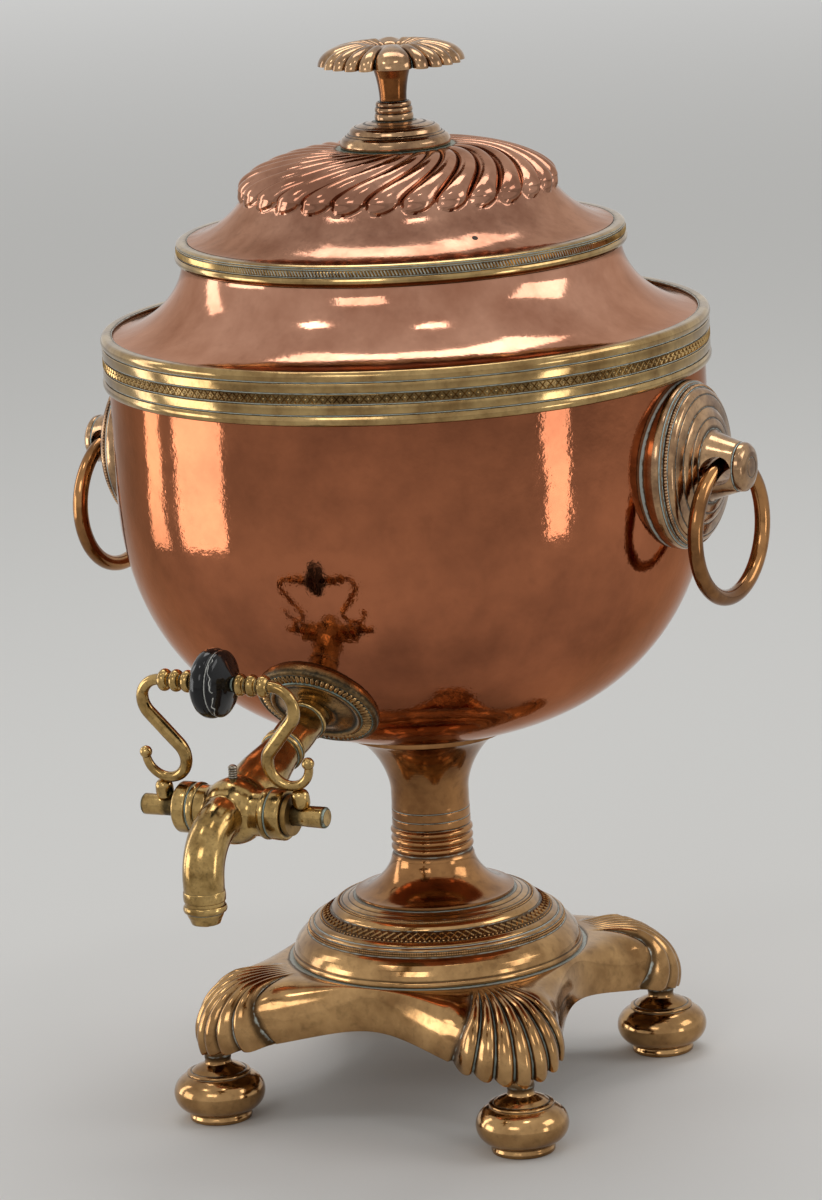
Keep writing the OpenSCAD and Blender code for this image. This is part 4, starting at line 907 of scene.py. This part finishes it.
def plinth_row(t, lining=0.0):
    """One ring of the skin: t runs from the seat of the foot to the lower edge."""
    row, hollow = [], []
    wide = fan_top_w + (fan_edge_w - fan_top_w) * t ** 0.8
    s, u = sin(pi / 2 * t), max(0, cos(pi / 2 * t))
    ramp, tip = min(1, max(0, (t - 0.04) / 0.3)), max(0, (t - 0.84) / 0.16)
    tuck = 2.0 * (1 - sqrt(max(0, 1 - tip ** 2)))
    for c in range(4 * quad):
        q, k = divmod(c, quad)
        in_fan = k <= fan_cols
        if in_fan:
            off = -wide + 2 * wide * k / fan_cols
        else:
            off = wide + (90 - 2 * wide) * (k - fan_cols) / side_cols
        a = abs(off)
        lobe = sin(pi * (k % flute_cols) / flute_cols) ** 0.6 if in_fan else 0.0
        inset = lining + (1.5 if in_fan and lining else 0.0)
        edge, start = plinth_edge(90 - a if a > 45 else a) - inset, seat_r - inset
        bump = 0.0 if lining or not in_fan else ramp * ((flute_h + 0.5) * lobe - 1.0 * (1 - lobe))
        r = start + (edge - start) * s ** 0.77 + bump * s
        r -= tuck if in_fan and not lining else 0.25 * tuck
        low = bun_h + 1.5 + 12 * sin(radians(2 * min(a, 90 - a))) ** 1.1
        low += 2.4 * (1 - lobe) - 1.2 if in_fan and not lining else 0.0
        z = seat_z - lining - (seat_z - lining - low) * (1 - u ** 0.77) + bump * u
        turn = radians(45 + 90 * q + off)
        row.append((*polar(r, turn), z))
        peak = 0.8 if k in (0, fan_cols) else 1.12
        deep = peak * exp(-(lobe / 0.48) ** 2) * min(1, t / 0.1) if in_fan else 0.0
        hollow.append(0.0 if lining else max(deep, exp(-(t / 0.012) ** 2)))
    return row, hollow


steps = [i / 56 for i in range(48)] + [0.84 + 0.16 * sin(pi / 2 * i / 12) for i in range(1, 13)]
skin = [plinth_row(t) for t in steps] + [plinth_row(i / 10, cast_t) for i in range(10, -1, -1)]
keep("plinth_brass", loft([s[0] for s in skin], [s[1] for s in skin], angle=48), "urn", brass_cast,
    "brass", "plinth")

# %% Bun feet
q = bun_r
foot_part = [(0.64, 0, 0.6), (0.68, 0.4), (0.69, 1.6), (0.66, 2.8), (0.66, 3.4, 0.4)]
neck_part = [(0.685, 18.5, 1), (0.70, 18.9), (0.69, 19.5), (0.62, 19.9, 0.3), (0.6, 19.8, 1),
    (0.58, 20.1), (0.5, 21.2), (0.4, 22.0), (0.3, 22.8)]
low, high = ([(x * q, *p) for x, *p in part] for part in (foot_part, neck_part))
bun = [(0, 0)] + low + arc(0.56 * q, 11, 0.44 * q, 7.6, range(-72, 73, 8)) + high
bun += [(5.1, 24.0, 0.3), (5.4, bun_h, 0.8), (4.9, bun_h + 4), (0, bun_h + 4)]
for x, y, word in ((-1, -1, "front_left"), (1, -1, "front_right"), (-1, 1, "back_left"),
        (1, 1, "back_right")):
    lathe(f"bun_brass_{word}", bun, 0.3, "urn", brass_cast, "brass", f"bun_foot_{word}",
        place=at(x * foot_spread, y * foot_spread, 0), sides=128)

# %% [markdown]
# ## Tap
#
# The tap is one casting: a swelling tube, a ball where the plug crosses it and a bent spout, all
# flowing into each other. Separate turned forms would meet in hard creases, so they are merged
# with a voxel remesh and smoothed, as a founder smooths the fillets of a pattern. The crisp
# collars are turned on afterwards, and the seat of the plug is bored last.

# %% Places of the tap
def meets_bowl(lo=20.0, high=100.0):
    for _ in range(30):
        mid = (lo + high) / 2
        y, z = tap_reach - mid * cos(radians(tap_dip)), tap_z + mid * sin(radians(tap_dip))
        lo, high = (mid, high) if y > skin_radius(z) else (lo, mid)
    return lo


tube_len = meets_bowl()
plate_y = -(tap_reach - tube_len * cos(radians(tap_dip)))
plate_z = tap_z + tube_len * sin(radians(tap_dip))
skin_dip = degrees(atan2(((equator_z - plate_z) / bowl_depth) ** (bowl_fullness - 1) / bowl_depth,
    (-plate_y / bowl_r) ** (bowl_fullness - 1) / bowl_r))
tube_place = at(0, -tap_reach, tap_z, tap_dip - 90)
plate_place = at(0, plate_y, plate_z, 90 + skin_dip)
tap_place = at(0, -tap_reach, tap_z)
barrel_place = tap_place @ Matrix.Rotation(pi / 2, 4, "Y")
print(f"tube {tube_len:.1f} mm, plate y {plate_y:.1f} z {plate_z:.1f}, dips {skin_dip:.1f} degrees")


# %% Sweeping a round bar along a path
def swept(path, radii, place=Matrix(), sides=32):
    """A closed bar along points in millimetres, with a radius for each, and rounded ends."""
    path = [Vector(p) for p in path]
    ends = []
    for i, near in ((0, 1), (-1, -2)):
        out, r = (path[i] - path[near]).normalized(), radii[i]
        ends.append([(path[i] + out * r * sin(t), r * cos(t)) for t in (0.5, 0.95, 1.3)])
    stations = ends[0][::-1] + list(zip(path, radii)) + ends[1]
    rows, side = [], None
    for i, (p, r) in enumerate(stations):
        after, before = stations[min(i + 1, len(stations) - 1)][0], stations[max(i - 1, 0)][0]
        ahead = (after - before).normalized()
        side = (ahead.orthogonal() if side is None else side - ahead * side.dot(ahead)).normalized()
        other = ahead.cross(side)
        spokes = [side * cos(tau * j / sides) + other * sin(tau * j / sides) for j in range(sides)]
        rows.append([tuple(p + spoke * r) for spoke in spokes])
    return loft(rows, [[0.0] * sides for _ in rows], place, 60)


# %% Tap casting
l, t = tube_len, tube_r
tube = [(0, -6), (t + 1, -4), (t + 2.2, 4), (t + 2.6, 12), (t + 2.4, 16), (t + 2.4, 0.3 * l),
    (t + 1.7, 0.38 * l), (t + 0.6, 0.48 * l), (t, 0.55 * l), (t, 0.62 * l), (t + 0.35, 0.72 * l),
    (t, 0.83 * l), (t, l + 1.5), (0, l + 1.5)]
bend = -(spout_out - spout_bend_r)
path = [(0, 2, 0), (0, bend / 2, 0)] + [(0, bend - spout_bend_r * sin(radians(a)),
    -spout_bend_r * (1 - cos(radians(a)))) for a in range(0, 91, 6)] + [(0, -spout_out, -26),
    (0, -spout_out, -spout_drop + 6)]
half = barrel_len / 2 - 1
radii = [spout_r + 1.2, spout_r + 1.0] + [spout_r + 0.75 - 0.35 * i / 16 for i in range(16)]
radii += [spout_r + 0.2, spout_r + 0.1]
casting = [turned(softened(tube, 3, 5), tube_place, 96), turned(ball(ball_r, 40), tap_place, 96),
    rod(barrel_r - 0.8, -half, half, barrel_place, 96), swept(path, radii, tap_place, 64)]
holder = put("holder", merged(casting))
melt = holder.modifiers.new("melt", "REMESH")
melt.mode, melt.voxel_size = "VOXEL", 0.0006  # 0.6 mm
calm = holder.modifiers.new("calm", "SMOOTH")
calm.factor, calm.iterations = 0.5, 14
mesh = cut(plain(holder), rod(plug_r + 0.1, -barrel_len / 2 - 2, barrel_len / 2 + 2, barrel_place,
    64, plug_r - 0.7), rod(1.85, ball_r - 4, ball_r + 6, tap_place, 32))
shade(mesh, 50)
keep("tap_casting", mesh, "urn", brass_tap, "brass", "tap_body")

# %% Screw
z = ball_r - 3.1
screw = [(0, z), (1.7, z), (1.7, z + 2.6)]
for i in range(5):
    screw += [(1.4, z + 2.8 + 0.9 * i, 0.7), (1.78, z + 3.25 + 0.9 * i)]
screw += [(1.5, z + 7.4), (1.0, z + 7.8), (0, z + 8)]
lathe("tap_screw_steel", screw, 0.2, "urn", steel_screw, "iron", "tap_screw", place=tap_place,
    sides=40)

# %% Collars on the casting
h = barrel_len / 2
end = ([(plug_r + 0.15, h - 9.2)] + offset(barrel_r, h, (-0.9, -9.2, 1), (-0.1, -8.6), (0.1, -7.6),
    (-0.1, -6.6), (-0.8, -6.1, 1), (-0.8, -5.7, 1), (-0.1, -5.2), (0, -3), (0, -0.7), (-0.6, 0)) +
    [(plug_r + 0.3, h, 0.9), (plug_r + 0.1, h - 0.3, 1)])
for side, word in hands:
    lathe(f"barrel_collar_{word}", end, 0.3, "urn", brass_tap, "brass",
        place=tap_place @ Matrix.Rotation(pi / 2 * side, 4, "Y"))
pair = [(t + x, y * l, *g) for x, y, *g in ((-1, 0.545), (0.1, 0.545, 1), (0.95, 0.553),
    (1.1, 0.565), (0.5, 0.575, 1), (0.5, 0.58, 1), (1.0, 0.588), (0.9, 0.6), (0.1, 0.612, 1),
    (-1, 0.612))]
thin = [(t + x, y * l, *g) for x, y, *g in ((-1, 0.842), (0.05, 0.842, 1), (0.8, 0.85), (0.9, 0.86),
    (0.8, 0.87), (0.05, 0.88, 1), (-1, 0.88))]
lathe("tube_collar_pair", pair, 0.25, "urn", brass_tap, "brass", place=tube_place)
lathe("tube_collar_thin", thin, 0.25, "urn", brass_tap, "brass", place=tube_place)
s, d = spout_r, -spout_drop
tip = ([(bore_r, d + 9), (bore_r, d + 0.6, 0.6), (bore_r + 0.4, d, 0.2), (bore_r + 1.3, d)] +
    offset(s, d, (-1.2, 2.2), (-0.8, 3.6, 0.4), (-0.4, 4.1, 1), (0.6, 4.8), (0.85, 5.8), (0.6, 6.9),
    (-0.3, 7.5, 1), (-0.3, 8.0, 1), (0.45, 8.7), (0.6, 10.5), (0.5, 12.2), (0.1, 12.8, 1),
    (-0.2, 13.4), (-1.2, 13.4)))
lathe("spout_tip", tip, 0.3, "urn", brass_tap, "brass", place=at(0, -tap_reach - spout_out, tap_z))

# %% [markdown]
# ## Plate behind the tap
#
# A round dished plate with a border of short radial leaves, bedded on the bowl. Its underside is
# cut to the bowl's curve with the same tool as the bosses.

# %% Plate
r, h = plate_r, plate_t
face = ([(0, -9)] + offset(r, 0, (-0.4, -9, 1), (0, -8.6, 0.8), (0, -0.5, 0.6), (-0.3, 0.3, 0.5),
    (-1.0, 0.8, 0.45), (-1.6, 0.8, 0.5), (-2.0, 0.4, 1), (-2.3, 0.5, 0.7), (-5.6, 1.2, 0.7),
    (-5.9, 1.5, 1), (-6.3, 2.1, 0.3), (-6.9, 2.2), (-7.5, 1.9, 0.3), (-8.0, 1.4, 0.8),
    (-9.5, 1.4, 0.3)) + [(tube_r + 3.4, h, 0.2), (tube_r + 1.6, h + 0.8, 0.6), (0, h + 0.8)])
mesh = cut(turned(softened(face, 0.3), plate_place, 160), turned(bowl_tool, sides=192),
    rod(tube_r + 0.1, tube_len - 25, tube_len + 20, tube_place))
keep("plate_brass", mesh, "urn", plate_dark, "brass", "tap_plate")
points, faces = [], []
for i in range(7):
    v = i / 6
    wide = 0.95 * sin(pi * min(1, 0.12 + v * 0.8)) ** 0.7
    for y, up in ((-wide, -0.15), (-wide * 0.5, 0.35), (0, 0.5), (wide * 0.5, 0.35), (wide, -0.15)):
        points.append((-1.75 + 3.5 * v, y, up + (0.15 if i not in (0, 6) else -0.3)))
for i in range(6):
    faces += [(i * 5 + j, i * 5 + j + 1, i * 5 + j + 6, i * 5 + j + 5) for j in range(4)]
    faces.append((i * 5 + 4, i * 5, i * 5 + 5, i * 5 + 9))
faces += [(0, 1, 2, 3, 4), (30, 31, 32, 33, 34)]
leaf_stamp = surface(points, faces)
ornament_row("plate_leaves", leaf_stamp, 64, r - 3.9, 0.95, "urn", plate_dark, "brass", 12,
    plate_place)

# %% [markdown]
# ## Plug and key
#
# The plug crosses the barrel and carries the key on its two shanks: two S-scrolls of tapered
# wire that end in a bead, a beaded grip between their tops and a black turned knob. The scrolls
# follow the same two bends as the solids, swept with a radius that thins towards the curl.

# %% Plug
key_place = at(0, -tap_reach, tap_z, key_lean)
plug_place = key_place @ Matrix.Rotation(pi / 2, 4, "Y")
w, h = barrel_len / 2, plug_len / 2
shank = ([(plug_r - 0.4, w, 0.6)] + offset(shank_r, w, (-0.1, 0, 1), (-0.1, 0.9, 1),
    (-0.1, 1.3, 0.55), (-0.1, 5.5, 0.62), (-0.1, 7, 0.3), (0, 8)) + offset(shank_r, h,
    (0.1, -1.6, 0.1), (0, -0.6, 0.8), (-0.7, 0, 0.9), (-1.1, 0)) + [(0, h)])
lathe("plug_brass", mirrored(softened(shank, 0.2)[4:]), 0, "tap_key", brass_tap, "brass",
    "tap_plug", place=plug_place)

# %% Scrolls
key_hook_z, key_top_z = shank_r + 5.5 + wire_r + scroll_hook_r, key_h - scroll_top_r
dx, dz = hook_x - grip_half, key_hook_z - key_top_z
span = hypot(dx, dz)
scroll_turn = degrees(asin((scroll_top_r + scroll_hook_r) / span)) - degrees(atan2(dx, -dz))


def turn_at(x, z, r, a):
    return x + r * cos(radians(a)), 0, z + r * sin(radians(a))


path = [(grip_half - 3, 0, key_h), (grip_half - 1.5, 0, key_h)]
bend, start, curl = 90 + scroll_turn, 180 - scroll_turn, 182 + scroll_turn
path += [turn_at(grip_half, key_top_z, scroll_top_r, 90 - bend * i / 22) for i in range(23)]
first, last = Vector(path[-1]), Vector(turn_at(hook_x, key_hook_z, scroll_hook_r, start))
path += [tuple(first.lerp(last, i / 8)) for i in range(1, 8)]
path += [turn_at(hook_x, key_hook_z, scroll_hook_r, start + curl * i / 34) for i in range(35)]
shares = [i / (len(path) - 1) for i in range(len(path))]
full = [0.82 + 0.22 * exp(-((v - 0.42) / 0.2) ** 2) - 0.18 * max(0, v - 0.7) / 0.3 for v in shares]
radii = [wire_r * share for share in full]
for side, word in hands:
    side_place = key_place @ Matrix.Diagonal((side, 1, 1, 1))
    scroll = swept(path, radii, side_place, 28)
    knot_place = side_place @ at(*turn_at(hook_x, key_hook_z, scroll_hook_r, 8))
    knot = turned(ball(2.35, 16), knot_place, 32)
    pad = [(0, -3.6), (2.7, -3.5), (3.3, -2.4), (3.4, 0), (3.2, 1.9), (2.3, 3.2), (0, 3.6)]
    pad = turned(softened(pad, 1.0), side_place @ at(hook_x + 3, 0, shank_r + 3.2), 40)
    mesh = merged((scroll, knot, pad))
    shade(mesh, 50)
    keep(f"key_scroll_brass_{word}", mesh, "tap_key", brass_tap, "brass", f"key_scroll_{word}")

# %% Grip and knob
k = knob_w / 2
beads = []
for i in range(3):
    z = k + 2.6 + 4.8 * i
    beads += [(2.5, z - 2.15, 1)] + arc(bead_r - 2.15, z, 2.15, 2.1, range(-70, 71, 14))
beads += [(2.4, k + 2.6 + 12.0, 1), (2.3, grip_half, 0)]
grip = [(0, -grip_half)] + mirrored(beads) + [(0, grip_half)]
grip_place = plug_place @ at(-key_h, 0, 0)
lathe("key_grip_brass", grip, 0.25, "tap_key", brass_tap, "brass", "key_grip", place=grip_place,
    sides=72)
r = knob_r
knob = [(wire_r + 0.05, -k)] + [(x * r, z * k, *g) for x, z, *g in ((0.3, -0.95), (0.53, -0.8),
    (0.76, -0.62), (0.93, -0.4), (0.99, -0.2), (1, -0.02), (0.985, 0.12), (0.95, 0.2),
    (0.9, 0.25, 1), (0.9, 0.29, 1), (0.95, 0.34), (0.95, 0.46), (0.87, 0.57), (0.67, 0.7),
    (0.42, 0.84))] + [(wire_r + 0.05, k)]
mesh = turned(softened(knob, 0.6, 5), sides=160)
for vertex, value in zip(mesh.vertices, mesh.attributes["recess"].data):
    turn = atan2(vertex.co.y, vertex.co.x)
    crack = 0.5 * k + 0.8 * sin(3 * turn) + 0.3 * sin(11 * turn) + 0.15 * sin(23 * turn + 1)
    if -2.8 < turn < 0.3 and vertex.co.z * 1000 > 0.31 * k:
        value.value = max(value.value, exp(-((vertex.co.z * 1000 - crack) / 0.3) ** 2))
mesh.transform(grip_place)
keep("knob_ebony", mesh, "tap_key", ebony, "ebony", "key_knob")

# %% [markdown]
# ## Nodes that stay
#
# The solids inside the urn and its fasteners keep their own meshes and only get their metals.

# %% Finishes of the other nodes
for material, names in ((copper_neck_painted_light, ("heater_tube",)), (iron_dark, ("heater_slug", "slug_eye",
        "tie_rod", "tie_nuts", "tie_washers")), (brass_hidden, ("lid_collar", "finial_rod",
        "finial_nut", "boss_studs", "boss_nuts", "plug_washer", "tap_saddle", "tap_nut", "key_pins",
        "heater_cover", "cover_knob"))):
    for name in names:
        paint(nodes[name].data, material)
shown = {name: thing for name, thing in nodes.items() if not thing.hide_render}
print("left to finish:", [n for n in shown if shown[n].data.materials[0].name not in
    bpy.data.materials])

# %% [markdown]
# ## Floor, light and camera
#
# A plain pale floor that fades into a pale surround, and large soft lamps. Polished metal shows
# mostly what is round it, so the lamps stand where their reflections draw the bowl's form: tall
# windows at the left and right, and smaller ones above. The low windows reach almost down to the
# floor, where they would burn a white patch, so they only show in the metal. The camera stands
# where the photographer stood.

# %% Floor and surround
view_colour, view_strength = linear("#E9E9E8"), 0.9
fade_start, fade_end = 1.2, 6.5  # metres from the urn


def seen_directly(tree):
    """1 for what the camera, a gloss or glass looks at, 0 for the light that falls on things."""
    ray = add(tree, "ShaderNodeLightPath").outputs
    either = add(tree, "ShaderNodeMath", {0: ray["Is Camera Ray"], 1: ray["Is Glossy Ray"]},
        operation="MAXIMUM")
    return add(tree, "ShaderNodeMath", {0: either.outputs[0], 1: ray["Is Transmission Ray"]},
        operation="MAXIMUM").outputs[0]


half = 14  # of its width, in metres
corners = [(half * x, half * y, 0) for x, y in ((-1, -1), (1, -1), (1, 1), (-1, 1))]
floor = put("floor", bpy.data.meshes.new("floor"))
floor.data.from_pydata(corners, [], [(0, 1, 2, 3)])
paper = bpy.data.materials.new("pale_studio_paper")
tree = bare_tree(paper)
matt = add(tree, "ShaderNodeBsdfPrincipled", inputs={"Base Color": linear("#DCDCDA"),
    "Roughness": 0.9})
glow = add(tree, "ShaderNodeEmission", inputs={"Color": view_colour, "Strength": view_strength})
away = add(tree, "ShaderNodeVectorMath", {0: add(tree, "ShaderNodeTexCoord").outputs["Object"]},
    operation="LENGTH")
fade = add(tree, "ShaderNodeMapRange", {"Value": away.outputs["Value"]}, {"From Min": fade_start,
    "From Max": fade_end}, interpolation_type="SMOOTHSTEP")
share = add(tree, "ShaderNodeMath", {0: fade.outputs["Result"], 1: seen_directly(tree)},
    operation="MULTIPLY")
blend = add(tree, "ShaderNodeMixShader", {0: share.outputs[0], 1: matt.outputs[0],
    2: glow.outputs[0]})
add(tree, "ShaderNodeOutputMaterial", {"Surface": blend.outputs[0]})
paint(floor.data, paper)
world = bpy.context.scene.world or bpy.data.worlds.new("surround")
bpy.context.scene.world = world
tree = bare_tree(world)
light = add(tree, "ShaderNodeBackground", inputs={"Color": linear("#F2F1EF"), "Strength": 0.55})
view = add(tree, "ShaderNodeBackground", inputs={"Color": view_colour, "Strength": view_strength})
both = add(tree, "ShaderNodeMixShader", {0: seen_directly(tree), 1: light.outputs[0],
    2: view.outputs[0]})
add(tree, "ShaderNodeOutputWorld", {"Surface": both.outputs[0]})


# %% Lamps
def window(name, azimuth, distance, low, high, wide, radiance, slope=0.0):
    """A soft window: azimuth in degrees from the tap towards +X, then distances in metres."""
    lamp = bpy.data.lights.new(name, "AREA")
    lamp.shape, lamp.size, lamp.size_y = "RECTANGLE", wide, high - low
    lamp.energy = radiance * pi * wide * (high - low)
    holder = put(name, lamp)
    a = radians(azimuth)
    holder.location = (distance * sin(a), -distance * cos(a), (low + high) / 2)
    holder.rotation_euler = (radians(90 - slope), 0, a)
    holder.visible_camera = False
    holder.visible_diffuse = low > 0.1


window("window_left", -58, 0.85, 0.005, 0.34, 0.36, 3.2)
window("window_left_far", -84, 0.85, 0.005, 0.75, 0.16, 3.0)
window("window_right", 80, 0.85, 0.005, 0.24, 0.15, 3.2)
window("window_right_high", 104, 1.45, 0.7, 1.3, 0.8, 2.6, 20)
window("window_front", 4, 1.8, 0.9, 1.4, 0.8, 3.0, 25)
window("ceiling_left", -34, 1.1, 1.72, 1.96, 0.34, 6.0, 56)
window("ceiling_right", 49, 0.75, 1.9, 2.1, 0.34, 6.0, 68)
window("ceiling_back", 200, 0.7, 1.5, 2.1, 1.2, 3.4, 66)

# %% Camera
turn, pitch, yaw, roll = 27.2, 12.6696, 0.0240, -3.0599  # degrees
distance, height, shift = 2000, 647.697, -2.5733  # millimetres
focal, picture_h, sensor_h = 5236.2, 1200, 36  # pixels, pixels, millimetres
t, a, p, ro = (radians(v) for v in (turn, turn + yaw, pitch, roll))
stand = Vector((distance * sin(t) + shift * cos(t), -distance * cos(t) + shift * sin(t),
    height)) * mm
ahead = Vector((-sin(a) * cos(p), cos(a) * cos(p), -sin(p)))
right = ahead.cross(Vector((0, 0, 1))).normalized()
up = right.cross(ahead)
x_axis, y_axis = right * cos(ro) + up * sin(ro), -right * sin(ro) + up * cos(ro)
camera = bpy.data.cameras.new("camera")
camera.sensor_fit, camera.sensor_height = "VERTICAL", sensor_h
camera.lens = focal * sensor_h / picture_h
camera.clip_start, camera.clip_end = 0.05, 60
eye = put("camera", camera)
eye.matrix_world = Matrix.Translation(stand) @ Matrix((x_axis, y_axis,
    -ahead)).transposed().to_4x4()
bpy.context.scene.camera = eye
bpy.context.scene.view_settings.view_transform = "Standard"

# %% [markdown]
# ## Last step
#
# The view layer is brought up to date once more.

# %% Update the view layer
bpy.context.view_layer.update()
